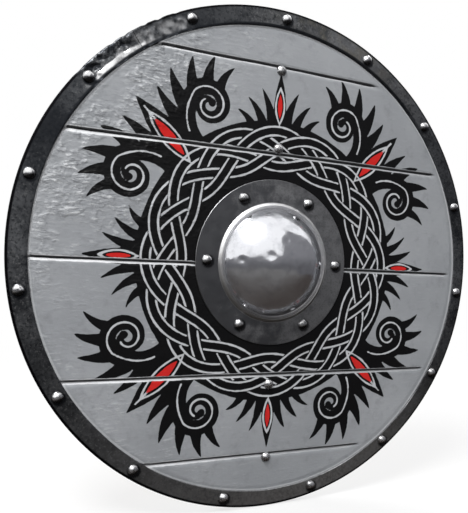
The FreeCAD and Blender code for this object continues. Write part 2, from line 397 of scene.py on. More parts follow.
# %% [markdown]
# A pattern starts from the point's own place on the object, so that it stays there when the shield is
# turned. A cloud of noise gives patches and specks, a field gives what the mesh knows, and bump leans the
# surface's normal, so that small relief needs no points.

# %% Helpers for patterns
# A dark colour for painted shade and shadow, and for dirt: in the seams, beside the rim and round the rivets.
painted_shade_and_dirt = (0.018, 0.018, 0.020, 1.0)
wood_grime = (0.055, 0.038, 0.024, 1.0)
most_of_a_cloud = (0.3, 0.7)


def place_on_object(tree, stretch=(1.0, 1.0, 1.0)):
    """The point's own place in metres, with each axis multiplied by its stretch."""
    place = add(tree, "TexCoord", {})["Object"]
    return add(tree, "Mapping", {"Vector": place, "Scale": stretch})[0]


def distance_along(tree, axes):
    """How far the point is from the origin, counting only the axes that are given as 1."""
    place = add(tree, "TexCoord", {})["Object"]
    flat = vector_step(tree, "MULTIPLY", place, axes)
    return add(tree, "VectorMath", {0: flat}, operation="LENGTH")["Value"]


def field(tree, name):
    """A number that the mesh holds at each of its points."""
    return add(tree, "Attribute", {}, attribute_name=name)["Fac"]


def cloud(tree, place, scale, detail=3.0, roughness=0.55):
    """Blender's noise texture, from 0 to 1, with that many bumps to a metre."""
    return add(tree, "TexNoise", {"Vector": place, "Scale": scale, "Detail": detail, "Roughness": roughness})[0]


def bump(tree, height, depth, normal=None):
    """A normal that leans as if the surface rose by that depth where the height goes from 0 to 1."""
    inputs = {"Strength": 1.0, "Distance": depth, "Height": height}
    if normal is not None:
        inputs["Normal"] = normal
    return add(tree, "Bump", inputs)["Normal"]


def new_finish(name):
    """An empty recipe: the material, its node tree, and the inputs of the shader that it feeds."""
    material = bpy.data.materials.new(name)
    material.use_nodes = True
    return material, material.node_tree, material.node_tree.nodes["Principled BSDF"].inputs


def glowing(tree, surface):
    """Takes the usual shader out of a recipe and puts another surface in its place."""
    tree.nodes.remove(tree.nodes["Principled BSDF"])
    tree.links.new(surface, tree.nodes["Material Output"].inputs["Surface"])


def counted(material):
    """Prints how many nodes a recipe took, and hands the material on."""
    print(material.name, "is a recipe of", len(material.node_tree.nodes), "nodes")
    return material


# %% [markdown]
# The stage is a pale floor in a white studio. Very strong lamps would bleach the shield. Instead the world
# is white where the camera or metal sees it, and lights the object with less than that. The floor does the
# same, keeps the soft shadow, and fades into white far out.

# %% Stage
floor_size = 40.0
floor_colour = grey(0.80)
floor_shadow_share = 0.28
floor_near, floor_far = 0.5, 1.8
world_light = 0.26
level_axes = (1.0, 1.0, 0.0)


def seen_directly(tree):
    """1 for a ray from the camera, off metal or through glass, and 0 for a ray that carries soft light."""
    ray = add(tree, "LightPath", {})
    shown = calc(tree, "MAXIMUM", ray["Is Camera Ray"], ray["Is Glossy Ray"])
    return calc(tree, "MAXIMUM", shown, ray["Is Transmission Ray"])


def make_world():
    """A white world whose strength is 1 where it is seen, and less where it only lights."""
    world = bpy.data.worlds.new("white_studio")
    bpy.context.scene.world = world
    world.use_nodes = True
    tree = world.node_tree
    strength = remap(tree, seen_directly(tree), 0.0, 1.0, world_light, 1.0)
    tree.links.new(strength, tree.nodes["Background"].inputs["Strength"])
    tree.nodes["Background"].inputs["Color"].default_value = grey(1.0)


def make_floor_finish():
    """Part matt and part plain white, with the white's share growing with the distance from the shield."""
    material, tree, shader = new_finish("studio_floor")
    distance = distance_along(tree, level_axes)
    far = remap(tree, distance, floor_near, floor_far, 1.0 - floor_shadow_share, 1.0)
    share = times(tree, far, seen_directly(tree))
    matt = add(tree, "BsdfDiffuse", {"Color": floor_colour})[0]
    white = add(tree, "Emission", {"Color": grey(1.0), "Strength": 1.0})[0]
    glowing(tree, add(tree, "MixShader", {0: share, 1: matt, 2: white})[0])
    return counted(material)


def stage_piece(name, points, faces, finish):
    """A thin sheet that belongs to the studio and not to the shield."""
    mesh = bpy.data.meshes.new(name)
    mesh.from_pydata(points, [], faces)
    mesh.materials.append(finish)
    sheet = bpy.data.objects.new(name, mesh)
    bpy.context.scene.collection.objects.link(sheet)
    return sheet


def level_square(name, half, height, finish):
    """One level face round the origin, with that half width and at that height."""
    corners = [(-half, -half, height), (half, -half, height), (half, half, height), (-half, half, height)]
    return stage_piece(name, corners, [(0, 1, 2, 3)], finish)


ground = -shield_radius
bpy.context.scene.view_settings.view_transform = "Standard"
make_world()
level_square("studio_floor", floor_size / 2, ground, make_floor_finish())
print("the floor is", round(-ground / mm), "mm below the middle of the shield")

# %% [markdown]
# Polished metal shows the room, and in an all white room it would look like white card. So a dark curved
# screen on dark ground, which only mirrors can see, stands round the front. Its top edge rises at the
# right. It gives the dome its dark lower half, and every rivet its dark underside.

# %% Dark screen and ground for the metal to mirror
screen_distance = 1.6
screen_steps = 120
screen_azimuths_deg = [-125.0, -84.0, -46.0, -22.0, 13.0, 17.0, 24.0, 48.0, 64.0, 82.0, 92.0, 125.0]
screen_elevations_deg = [2.0, 4.9, 9.4, 13.0, 14.0, 30.0, 42.0, 55.0, 43.0, 30.0, 20.0, 8.0]
screen_low_colour = (0.105, 0.105, 0.112, 1.0)
screen_high_colour = (0.200, 0.200, 0.212, 1.0)
screen_fade = (-0.20, 0.45)
ground_dark = (0.058, 0.050, 0.046, 1.0)
ground_colour = (0.165, 0.162, 0.160, 1.0)
ground_fade = (-0.05, 0.85)
ground_lead_at_left = 0.35
ground_lift = 1.0 * mm
mirror_patches = (2.2, 3.0)
mirror_patch_share = 0.9


def make_mirrored_finish(name, low_colour, high_colour, share_of_place):
    """Two colours that need no lamp, mixed by where the point is and by a soft cloud."""
    material, tree, shader = new_finish(name)
    place = place_on_object(tree)
    where = add(tree, "SeparateXYZ", {"Vector": place})
    patches = scaled(tree, cloud(tree, place, *mirror_patches), mirror_patch_share, -mirror_patch_share / 2)
    share = add(tree, "Clamp", {"Value": calc(tree, "ADD", share_of_place(tree, where), patches)})[0]
    colour = mixed(tree, share, low_colour, high_colour)
    glowing(tree, add(tree, "Emission", {"Color": colour, "Strength": 1.0})[0])
    return counted(material)


def by_height(tree, where):
    """From 0 near the ground to 1 higher up."""
    return remap(tree, where["Z"], *screen_fade)


def by_distance(tree, where):
    """From 0 under the shield to 1 far in front of it, and sooner at the left."""
    forward = times(tree, where["Y"], -1.0)
    return remap(tree, scaled(tree, where["X"], -ground_lead_at_left, forward), *ground_fade)


def only_in_mirrors(card):
    """Hides a piece from the camera, from soft light and from shadows, but not from polished metal."""
    card.visible_camera = False
    card.visible_diffuse = False
    card.visible_transmission = False
    card.visible_shadow = False


def make_dark_screen():
    """An upright wall round the origin: its height is its distance times the tangent of the elevation."""
    azimuth = np.linspace(screen_azimuths_deg[0], screen_azimuths_deg[-1], screen_steps)
    elevation = np.radians(np.interp(azimuth, screen_azimuths_deg, screen_elevations_deg))
    azimuth = np.radians(azimuth)
    x, y = screen_distance * np.sin(azimuth), -screen_distance * np.cos(azimuth)
    foot = np.stack([x, y, np.full(x.shape, ground)], axis=1)
    top = np.stack([x, y, screen_distance * np.tan(elevation)], axis=1)
    finish = make_mirrored_finish("dark_screen", screen_low_colour, screen_high_colour, by_height)
    return stage_piece("dark_screen", np.vstack([foot, top]), grid_faces(2, screen_steps).tolist(), finish)


only_in_mirrors(make_dark_screen())
ground_finish = make_mirrored_finish("dark_ground", ground_dark, ground_colour, by_distance)
only_in_mirrors(level_square("dark_ground", screen_distance, ground + ground_lift, ground_finish))
print("dark screen", screen_distance, "m from the shield")

# %% [markdown]
# Soft light comes from above and from the left. A sun lamp would throw hard shadows, so a large soft box
# gives that light, and two more keep the other sides readable.

# %% Lamps
lamp_rows = [
    ("key_softbox", (-0.95, -0.80, 1.75), 0.8, 50.0),
    ("fill_softbox", (1.5, -1.7, 1.3), 1.4, 5.0),
    ("back_softbox", (0.9, 1.5, 1.5), 1.6, 45.0),
]


def make_lamp(name, place, size, power):
    """A square area lamp that looks at the origin."""
    light = bpy.data.lights.new(name, "AREA")
    light.size = size
    light.energy = power
    lamp = bpy.data.objects.new(name, light)
    lamp.location = place
    lamp.rotation_euler = (-Vector(place)).to_track_quat("-Z", "Y").to_euler()
    bpy.context.scene.collection.objects.link(lamp)
    print(name, size, "m wide,", power, "W")


for row in lamp_rows:
    make_lamp(*row)

# %% [markdown]
# ## The painted design
# The board carries a black ring of interlaced bands with leaves, scrolls and flame tongues growing out of
# it. A painter would lay it out with a compass and fill it in. A picture on the board would blur close up,
# so each shape is a distance: a number at every point of the board that is above zero inside the shape, and
# tells in millimetres how far its edge is. Shapes join by taking the larger number.

# %% Distances for simple shapes
outside = -50.0


def smooth_curve(corners, count):
    """Bezier curve: each corner weighs in with a binomial number times powers of the share and of its rest."""
    share = np.linspace(0, 1, count)[:, None]
    degree = len(corners) - 1
    weights = [math.comb(degree, k) * (1 - share) ** (degree - k) * share ** k for k in range(degree + 1)]
    return sum(weight * np.array(corner) for weight, corner in zip(weights, corners))


def spiral(centre, start_radius, end_radius, start_angle, turns, count):
    """A point that goes round the centre while its distance from it changes evenly."""
    share = np.linspace(0, 1, count)
    radius = start_radius + (end_radius - start_radius) * share
    angle = math.radians(start_angle) + full_turn * turns * share
    return np.stack([centre[0] + radius * np.cos(angle), centre[1] + radius * np.sin(angle)], axis=1)


def brush_stroke(along, across, path, half_widths):
    """Circles strung along a path: the largest of each half width less the distance to its centre."""
    inside = np.full(along.shape, outside)
    for (centre_along, centre_across), half_width in zip(path, half_widths):
        inside = np.maximum(inside, half_width - np.hypot(along - centre_along, across - centre_across))
    return inside


def almond(along, across, centre, half_length, half_width):
    """Two equal circles overlap: the radius less the distance to the farther one's centre."""
    radius = (half_length ** 2 + half_width ** 2) / (2 * half_width)
    return radius - np.hypot(along - centre, np.abs(across) + radius - half_width)


print("the middle of an almond 10 mm wide is", almond(np.zeros(1), np.zeros(1), 0.0, 26.0, 5.0), "mm inside")

# %% [markdown]
# The ring is four strands that swing in and out like cosine waves as they go round. Where two cross, the
# upper one's edge lines are drawn whole, and wipe out the lines beneath. A sine of the same angle says
# which strand is on top.

# %% The interlaced ring
ring_middle = 139.0
ring_inner, ring_outer = 94.0, 171.5
strand_count = 4
strand_waves = 16
strand_swing = 21.0
strand_half_width = 6.4
strand_clearance = 1.5
edge_line_half_width = 1.15


def interlace(radius, angle):
    """Distance to the edge lines of the strands, drawn from the lowest strand at each place to the highest."""
    phases = [(strand_waves * angle + full_turn * k) / strand_count for k in range(strand_count)]
    heights = np.array([np.sin((strand_count - 1) * phase) for phase in phases])
    slopes = [strand_swing * strand_waves / strand_count * np.sin(phase) / radius for phase in phases]
    offsets = np.array([
        (radius - ring_middle - strand_swing * np.cos(phase)) / np.sqrt(1 + slope ** 2)
        for phase, slope in zip(phases, slopes)
    ])
    order = np.argsort(heights, axis=0)
    lines = np.full(radius.shape, outside)
    for level in range(strand_count):
        away = np.abs(np.take_along_axis(offsets, order[level:level + 1], axis=0)[0])
        wiped = np.minimum(lines, away - strand_half_width - strand_clearance)
        edges = edge_line_half_width - np.abs(away - strand_half_width + edge_line_half_width)
        lines = np.maximum(wiped, edges)
    return lines


print("strands cross", (strand_count - 1) * strand_waves, "times in one round")

# %% [markdown]
# The rest of the design repeats eight times, mirrored. So each point of the board is first folded onto one
# eighth: `along` and `across` measure from the nearest diagonal, and `axis_along` and `axis_across` from
# the nearest upright or level line. Every curve is drawn only once.

# %% Folding the board onto one eighth
eighths = 8
quarter_turn = full_turn / 4


def fold(x, z):
    """Distances along and across the nearest diagonal, and along and across the nearest axis."""
    radius = np.hypot(x, z)
    from_diagonal = np.abs(np.arctan2(z, x) % quarter_turn - quarter_turn / 2)
    from_axis = quarter_turn / 2 - from_diagonal
    return (
        radius * np.cos(from_diagonal), radius * np.sin(from_diagonal),
        radius * np.cos(from_axis), radius * np.sin(from_axis),
    )


print("the point 3, 4 folds to", np.round(fold(np.array([3.0]), np.array([4.0])), 2).ravel())

# %% [markdown]
# On each diagonal grows a leaf with a red eye and a pale vein, and on each axis a smaller bud. Flames and
# tongues are curved strokes that thin to a point, as a brush leaves them when it is lifted. A row gives the
# three corners of a curve and its half width at the root.

# %% Leaves, buds and flames
leaf_span, leaf_half_width, leaf_root, leaf_taper = (160.0, 250.0), 17.5, 0.16, 0.35
bud_span, bud_half_width, bud_root, bud_taper = (168.0, 232.0), 9.5, 0.22, 0.4
leaf_points, flame_points = 70, 50
flame_thinning, flame_tip = 0.8, 0.2
flame_rows = [
    ((188.0, 15.0), (196.0, 16.0), (206.0, 20.0), 9.0),
    ((203.0, 22.0), (222.0, 21.0), (243.0, 27.0), 8.5),
    ((212.0, 40.0), (231.0, 42.0), (249.0, 54.0), 9.0),
    ((213.0, 58.0), (231.0, 68.0), (243.0, 84.0), 8.5),
    ((208.0, 76.0), (222.0, 90.0), (227.0, 106.0), 8.0),
    ((196.0, 84.0), (205.0, 100.0), (203.0, 116.0), 6.5),
]
tongue_rows = [
    ((164.0, 9.0), (188.0, 12.0), (209.0, 25.0), 7.5),
    ((163.0, 21.0), (183.0, 27.0), (196.0, 43.0), 6.5),
    ((160.0, 34.0), (175.0, 42.0), (180.0, 57.0), 5.5),
]


def leaf_stroke(along, across, span, half_width, root, taper):
    """A straight stroke whose width follows a sine wave that starts part of the way up and thins to the tip."""
    share = np.linspace(0, 1, leaf_points)
    path = line((span[0], 0.0), (span[1], 0.0), leaf_points)
    wave = np.sin(math.pi * at_least(root, share))
    return brush_stroke(along, across, path, half_width * wave * (1 - taper * share))


def flames(along, across, rows):
    """The largest of the strokes: each half width falls as a power of the rest of its length."""
    rest = 1 - np.linspace(0, 1, flame_points)
    inside = np.full(along.shape, outside)
    for *corners, half_width in rows:
        half_widths = half_width * rest ** flame_thinning + flame_tip
        path = smooth_curve(corners, flame_points)
        inside = np.maximum(inside, brush_stroke(along, across, path, half_widths))
    return inside


print(eighths * (len(flame_rows) + len(tongue_rows)), "flames and tongues in all")

# %% [markdown]
# A scroll is one stroke: a root that runs on into a spiral, thins all the way, and ends in a round bud. A
# pale line follows its middle.

# %% Scrolls
scroll_root = [(150.0, 20.0), (176.0, 16.0), (204.0, 24.0), (213.5, 60.0)]
scroll_eye = (190.5, 62.0)
scroll_start_radius, scroll_end_radius = 23.0, 4.0
scroll_start_deg, scroll_turns = -5.0, 1.30
root_points, spiral_points = 70, 190
scroll_half_width, scroll_thinning, scroll_least = 10.5, 0.6, 1.2
scroll_bud_half_width, scroll_bud_start, scroll_bud_length = 3.4, 0.93, 0.10
scroll_line_from, scroll_line_to = 30, -40
thin_line = 1.15


def scroll_path_and_widths():
    """Half width: a power of the rest of the length, and at the end half a sine wave for the bud."""
    curl = spiral(
        scroll_eye, scroll_start_radius, scroll_end_radius, scroll_start_deg, scroll_turns, spiral_points
    )
    path = np.vstack([smooth_curve(scroll_root, root_points), curl])
    share = np.linspace(0, 1, len(path))
    stem = scroll_half_width * (1 - share) ** scroll_thinning + scroll_least
    in_bud = np.clip((share - scroll_bud_start) / scroll_bud_length, 0, 1)
    bud = scroll_least + scroll_bud_half_width * np.sin(math.pi * in_bud)
    return path, np.where(share > scroll_bud_start, bud, stem)


def scroll(along, across):
    """The distance to the scroll, and the distance to the pale line along its middle."""
    path, half_widths = scroll_path_and_widths()
    line_path = path[scroll_line_from:scroll_line_to]
    return (
        brush_stroke(along, across, path, half_widths),
        brush_stroke(along, across, line_path, np.full(len(line_path), thin_line)),
    )


scroll_path = scroll_path_and_widths()[0]
print("a scroll is", round(np.hypot(*np.diff(scroll_path, axis=0).T).sum()), "mm long")

# %% [markdown]
# The whole design is the largest of its shapes, kept as three numbers: black, pale lines and red eyes. Each
# eye is an almond with a pale line round it.

# %% The whole design
leaf_eye_size, leaf_eye_line = (193.0, 26.0, 5.25), 3.8
leaf_vein_middle, leaf_vein_half_length = 224.0, 12.0
bud_eye_size, bud_eye_line = (190.0, 15.0, 3.0), 2.8


def painted_design(x, z):
    """Black, pale line and red, each as a distance in millimetres at the points x, z in millimetres."""
    radius = np.hypot(x, z)
    along, across, axis_along, axis_across = fold(x, z)
    scroll_black, scroll_line = scroll(along, across)
    black = np.max([
        np.minimum(ring_outer - radius, radius - ring_inner),
        leaf_stroke(along, across, leaf_span, leaf_half_width, leaf_root, leaf_taper),
        scroll_black,
        flames(along, across, flame_rows),
        flames(axis_along, axis_across, tongue_rows),
        leaf_stroke(axis_along, axis_across, bud_span, bud_half_width, bud_root, bud_taper),
    ], axis=0)
    leaf_eye = almond(along, across, *leaf_eye_size)
    bud_eye = almond(axis_along, axis_across, *bud_eye_size)
    lines = np.max([
        interlace(radius, np.arctan2(z, x)),
        thin_line - np.abs(leaf_eye + leaf_eye_line),
        np.minimum(thin_line - across, leaf_vein_half_length - np.abs(along - leaf_vein_middle)),
        scroll_line,
        thin_line - np.abs(bud_eye + bud_eye_line),
    ], axis=0)
    return black, lines, np.maximum(leaf_eye, bud_eye)


sample_x, sample_z = np.meshgrid(np.linspace(-280, 280, 140), np.linspace(-280, 280, 140))
print("black covers", round(100 * float((painted_design(sample_x, sample_z)[0] > 0).mean())), "% of the square")

# %% [markdown]
# ## The planks
# The planks were sawn, glued edge to edge, and painted grey with a stiff brush. The paint is thick and
# patchy, and rubbed through at the seams to a pale crest, which is partly wear and partly a painted
# highlight on the lit side. A picture of it would fit only one view. Here each layer is a colour with a
# share, and the shares come from noise and from the fields of the mesh.

# %% Colours of the painted front
paint_grey = (0.255, 0.266, 0.282, 1.0)
paint_pale = (0.310, 0.321, 0.338, 1.0)
paint_dark = (0.150, 0.156, 0.168, 1.0)
# The pale crest of a seam's rubbed arris: partly wear, partly a painted highlight on its lit side.
paint_crest_and_highlight = (0.74, 0.75, 0.77, 1.0)
# A painted highlight and painted shade for the brush strokes; the highlight also paints the light line beside
# the rim.
stroke_highlight = (0.78, 0.79, 0.81, 1.0)
stroke_shade = (0.115, 0.120, 0.130, 1.0)
ink_black = (0.0045, 0.0045, 0.005, 1.0)
line_grey = (0.47, 0.48, 0.50, 1.0)
eye_red = (0.52, 0.016, 0.014, 1.0)
print("the paint is", round(paint_grey[1] / ink_black[1]), "times as light as the ink")

# %% [markdown]
# At the upper left the brush left strokes in the paint, with a painted highlight where a stroke is high
# and painted shade where it is low. A stroke is a cloud squeezed along the grain. A broader cloud first
# moves every place up or down, so that the strokes wave.

# %% Brush strokes in the paint
stroke_stretch, stroke_wave = 0.27, 6.0 * mm
wave_cloud = (20.0, 1.5)
stroke_cloud = (340.0, 3.0, 0.6)
break_cloud, break_range = (60.0, 2.0), (0.42, 0.60, 0.30, 1.0)
# Glints are a painted highlight on the strokes' high parts, the next row painted shade on their low parts.
glint_range, glint_share = (0.54, 0.67), 0.62
stroke_shade_range, stroke_shade_share = (0.46, 0.33), 0.62


def brush_strokes(tree, place):
    """A cloud at a place whose height has been moved by a wave and whose X has been squeezed."""
    waves = scaled(tree, cloud(tree, place, *wave_cloud), 2 * stroke_wave, -stroke_wave)
    moved = vector_step(tree, "ADD", place, add(tree, "CombineXYZ", {"Z": waves})[0])
    drawn_out = vector_step(tree, "MULTIPLY", moved, (stroke_stretch, 1.0, 1.0))
    return cloud(tree, drawn_out, *stroke_cloud)


def stroke_layers(tree, strokes, rough_share):
    """Painted highlight where a stroke is high, painted shade where it is low, and only where the paint is
    rough.
    """
    glints = times(tree, remap(tree, strokes, *glint_range), rough_share)
    stroke_shade_mask = times(tree, remap(tree, strokes, *stroke_shade_range), rough_share)
    return [
        (times(tree, glints, glint_share), stroke_highlight),
        (times(tree, stroke_shade_mask, stroke_shade_share), stroke_shade),
    ]


print("strokes are drawn out", round(1 / stroke_stretch, 1), "times")

# %% [markdown]
# A small cloud moves the edges of the painted design a little, as a hand does. On the rubbed edge of a seam
# the colours are gone. The upper side of a seam gets painted shade and dirt. Beside the rim the board gets
# a painted highlight, and along its upper part a painted shadow of the rim.

# %% The recipe of the painted front
patch_cloud, pale_range = (9.0, 4.0), (0.30, 0.72)
mottle_cloud, mottle_range = (70.0, 3.0, 0.6), (0.50, 0.80, 0.0, 0.40)
fine_cloud, gloss_range = (700.0, 2.0), (*most_of_a_cloud, 0.46, 0.38)
wrinkle_stretch, wrinkle_cloud = (0.36, 1.0, 1.0), (340.0, 3.0, 0.60)
wander_cloud, brush_wander = (120.0, 4.0), 1.7
edge_softness = 0.22
bare_range = (1.9, 2.8, 1.0, 0.0)
shade_range = (0.15, 0.75)
# A painted highlight beside the rim, and a painted shadow of the rim along the upper part of the board.
rim_light_range = (2.9, 1.3, 0.0, 0.38)
rim_shadow_range, rim_shadow_heights = (0.8, 0.2), (0.03, 0.16)
paint_specular, ink_specular = 0.45, 0.12
relief_rough, relief_smooth = 0.88, 0.08
stroke_relief_share = 0.80
stroke_relief, mottle_relief, fine_relief = 2.2 * mm, 0.30 * mm, 0.05 * mm


def covered(tree, distance, wander, share):
    """How far a colour covers: whole where its distance, moved by the brush's wander, is above zero."""
    cover = remap(tree, calc(tree, "ADD", distance, wander), -edge_softness, edge_softness)
    return times(tree, cover, share)


def make_painted_board():
    """From the bottom up: grey, painted highlight and shade on strokes, rubbed arris crest with painted
    highlight, black, lines, red, painted seam shade and dirt, painted rim highlight and shadow.
    """
    material, tree, shader = new_finish("painted_board")
    place = place_on_object(tree)
    strokes = brush_strokes(tree, place)
    broken = remap(tree, cloud(tree, place, *break_cloud), *break_range)
    rough_share = times(tree, field(tree, "coarse"), broken)
    mottling = cloud(tree, place, *mottle_cloud)
    fine = cloud(tree, place, *fine_cloud)
    wander = times(tree, calc(tree, "SUBTRACT", cloud(tree, place, *wander_cloud), 0.5), brush_wander)
    bare_arris = remap(tree, calc(tree, "ADD", field(tree, "arris"), wander), *bare_range)
    on_face = calc(tree, "SUBTRACT", 1.0, bare_arris)
    black = covered(tree, field(tree, "black"), wander, on_face)
    lines = covered(tree, field(tree, "lines"), wander, on_face)
    red = covered(tree, field(tree, "red"), wander, on_face)
    from_rim = field(tree, "from_rim")
    high_up = remap(tree, add(tree, "SeparateXYZ", {"Vector": place})["Z"], *rim_shadow_heights)
    colour = layered(tree, paint_grey, [
        (remap(tree, cloud(tree, place, *patch_cloud), *pale_range), paint_pale),
        (remap(tree, mottling, *mottle_range), paint_dark),
        # painted highlight and painted shade on the brush strokes
        *stroke_layers(tree, strokes, rough_share),
        # the pale crest of the rubbed arris: partly wear, partly a painted highlight
        (times(tree, bare_arris, field(tree, "wear")), paint_crest_and_highlight),
        (black, ink_black),
        (lines, line_grey),
        (red, eye_red),
        # painted shade and dirt on the upper side of each seam
        (remap(tree, field(tree, "shaded_arris"), *shade_range), painted_shade_and_dirt),
        # a painted highlight beside the rim, then a painted shadow of the rim at the top
        (remap(tree, from_rim, *rim_light_range), stroke_highlight),
        (times(tree, remap(tree, from_rim, *rim_shadow_range), high_up), painted_shade_and_dirt),
    ])
    plug(tree, colour, shader["Base Color"])
    plug(tree, remap(tree, fine, *gloss_range), shader["Roughness"])
    inked = calc(tree, "SUBTRACT", black, lines)
    plug(tree, remap(tree, inked, 0.0, 1.0, paint_specular, ink_specular), shader["Specular IOR Level"])
    wrinkles = cloud(tree, place_on_object(tree, wrinkle_stretch), *wrinkle_cloud)
    relief = scaled(tree, strokes, stroke_relief_share, wrinkles)
    depth = scaled(tree, rough_share, relief_rough - relief_smooth, relief_smooth)
    ridges = bump(tree, times(tree, relief, depth), stroke_relief)
    ridges = bump(tree, mottling, mottle_relief, ridges)
    plug(tree, bump(tree, fine, fine_relief, ridges), shader["Normal"])
    return counted(material)


painted_board = make_painted_board()

# %% [markdown]
# The planks' backs are bare wood, and so is the grip. A saw cuts through growth rings at a slant, and
# leaves a figure like the contour lines of a smooth hill drawn out along the grain. The sine of many times
# the hill's height gives such lines. Each plank takes its own stretch of the hill.

# %% Finish of the bare wood
wood_pale = (0.330, 0.215, 0.120, 1.0)
wood_dark = (0.150, 0.083, 0.040, 1.0)
plank_grain = (0.07, 1.0, 1.0)
plank_roughness, roughness_spread = 0.55, 0.15
growth_rings = 16.0
plank_shift = 0.83
hill_cloud, ring_range, ring_share = (9.0, 3.0, 0.35), (-0.1, 1.0), 0.38
tone_cloud, tone_range = (7.0, 2.0), (0.35, 0.7, 0.0, 0.45)
fibre_cloud, fibre_range = (190.0, 4.0, 0.7), (0.48, 0.70, 0.0, 0.45)
pore_cloud, pore_range = (620.0, 3.0, 0.7), (0.56, 0.70, 0.0, 0.7)
seam_dirt_range, seam_dirt_share = (1.6, 0.4), 0.85
ring_relief, fibre_relief, pore_relief = 0.10 * mm, 0.35 * mm, 0.12 * mm


def make_wood(name, pale, dark, stretch, roughness):
    """Late wood is dark where the sine of the rings times a full turn times the hill's height is high."""
    material, tree, shader = new_finish(name)
    shift = times(tree, field(tree, "plank"), plank_shift)
    place = vector_step(tree, "ADD", place_on_object(tree, stretch), shift)
    hill = cloud(tree, place, *hill_cloud)
    late_wood = remap(tree, calc(tree, "SINE", times(tree, hill, growth_rings * full_turn)), *ring_range)
    fibres = cloud(tree, place, *fibre_cloud)
    pores = cloud(tree, place, *pore_cloud)
    near_seam = remap(tree, field(tree, "arris"), *seam_dirt_range)
    colour = layered(tree, pale, [
        (times(tree, late_wood, ring_share), dark),
        (remap(tree, cloud(tree, place, *tone_cloud), *tone_range), dark),
        (remap(tree, fibres, *fibre_range), dark),
        (remap(tree, pores, *pore_range), dark),
        (times(tree, near_seam, seam_dirt_share), wood_grime),
    ])
    plug(tree, colour, shader["Base Color"])
    gloss = remap(tree, fibres, *most_of_a_cloud, roughness, roughness + roughness_spread)
    plug(tree, gloss, shader["Roughness"])
    relief = bump(tree, late_wood, ring_relief)
    relief = bump(tree, fibres, fibre_relief, relief)
    plug(tree, bump(tree, pores, pore_relief, relief), shader["Normal"])
    return counted(material)


plank_wood = make_wood("plank_wood", wood_pale, wood_dark, plank_grain, plank_roughness)

# %% [markdown]
# The rim's inner edge was cut by hand, so its band is narrower at the lower right and wavers a little. Both
# the rim and the board beside it need that edge, so it is worked out once.

# %% The rim's inner edge
narrow_middle_deg, narrow_span_deg, narrow_by = 328.0, 80.0, 3.3 * mm
edge_waver, edge_waver_size = 0.35 * mm, 34 * mm


def rim_edge_radius(x, z):
    """The low radius, plus a bell curve round the lower right, plus a little noise."""
    away = (np.degrees(np.arctan2(z, x)) - narrow_middle_deg + 180) % 360 - 180
    narrower = narrow_by * np.exp(-(away / narrow_span_deg) ** 2)
    return rim_low_radius + narrower + edge_waver * uneven_over(x, z, edge_waver_size, 24)


edge_angles = np.radians([148.0, narrow_middle_deg])
edge_radii = rim_edge_radius(rim_low_radius * np.cos(edge_angles), rim_low_radius * np.sin(edge_angles))
print("the band is", ((shield_radius - edge_radii) / mm).round(1), "mm wide at the upper left and lower right")

# %% [markdown]
# The board was never quite flat. It has long low ripples along the grain, most of them in the left half.
# Bump would do for small ones, but these change the highlights from every side, so they are moved points.
# Under the rim and the flange the ripples stop.

# %% Ripples in the board
coarse_left, coarse_high, coarse_low_share = (20 * mm, -190 * mm), (-120 * mm, 230 * mm), 0.25
coarse_near_rim, coarse_above, coarse_rim_share = (205 * mm, 50 * mm), (-10 * mm, 60 * mm), 0.45
patch_size, patch_level, patch_swing, between_patches = (40 * mm, 24 * mm), 0.52, 0.95, 0.12
coarse_everywhere = 0.05
broad_size, narrow_size, sharp_size = (54 * mm, 9.5 * mm), (19 * mm, 4.4 * mm), (30 * mm, 6.4 * mm)
broad_slant, sharp_slant = 0.05, -0.08
broad_share, narrow_share, sharp_share = 0.40, 0.40, 0.50
ripple_depth = 0.42 * mm
steel_margin, calm_width = 1 * mm, 6 * mm


def coarseness(x, z):
    """Where the paint is wrinkled: a little everywhere, and in patches towards the upper left edge."""
    leftness = rise(x, *coarse_left)
    height = at_least(coarse_low_share, rise(z, *coarse_high))
    beside_rim = rise(np.hypot(x, z), *coarse_near_rim) * rise(z, *coarse_above)
    patch = patch_level + patch_swing * uneven_over(x, z, patch_size, 14) + coarse_rim_share * beside_rim
    return at_least(coarse_everywhere, leftness * height * at_least(between_patches, smooth_step(patch)))


def ripples(x, z):
    """Three noises drawn out along X. One less the size of the third gives it sharp crests."""
    slanted = z + broad_slant * x
    broad = uneven_over(x, slanted, broad_size, 11)
    narrow = uneven_over(x, slanted, narrow_size, 12)
    sharp = 1 - np.abs(uneven_over(x, z + sharp_slant * x, sharp_size, 13))
    height = broad_share * broad + narrow_share * narrow + sharp_share * sharp
    return ripple_depth * height * coarseness(x, z)


def clear_band(radius):
    """1 on the open board, and 0 under the rim and under the boss flange."""
    outside_flange = rise(radius, boss_flange_radius + steel_margin, calm_width)
    return outside_flange * rise(radius, rim_low_radius - steel_margin, -calm_width)


sample_x = np.linspace(-board_radius, board_radius, 5)
print("coarseness from left to right:", coarseness(sample_x, np.full(5, 100 * mm)).round(2))

# %% [markdown]
# One grid covers a plank's front. Its rows run along the plank, close together at its edge, the arris, and
# reach from the board's circle on the left to the circle on the right. Rows that meet the hand hole have a
# gap there. A boolean cut would leave ragged faces at the circle.

# %% A plank's grid
mesh_step = 1.42 * mm
least_step = 0.12 * mm
hand_hole_radius = 60.0 * mm
arris_rows = np.array([0.0, 0.25, 0.6, 1.0, 1.5, 2.1, 2.9]) * mm
circle_rows_deg = np.array([0.0, 1.2, 2.4, 4.0, 6.0, 8.0, 10.0, 12.5, 15.0, 18.0, 21.0, 25.0])
row_decimals = 7


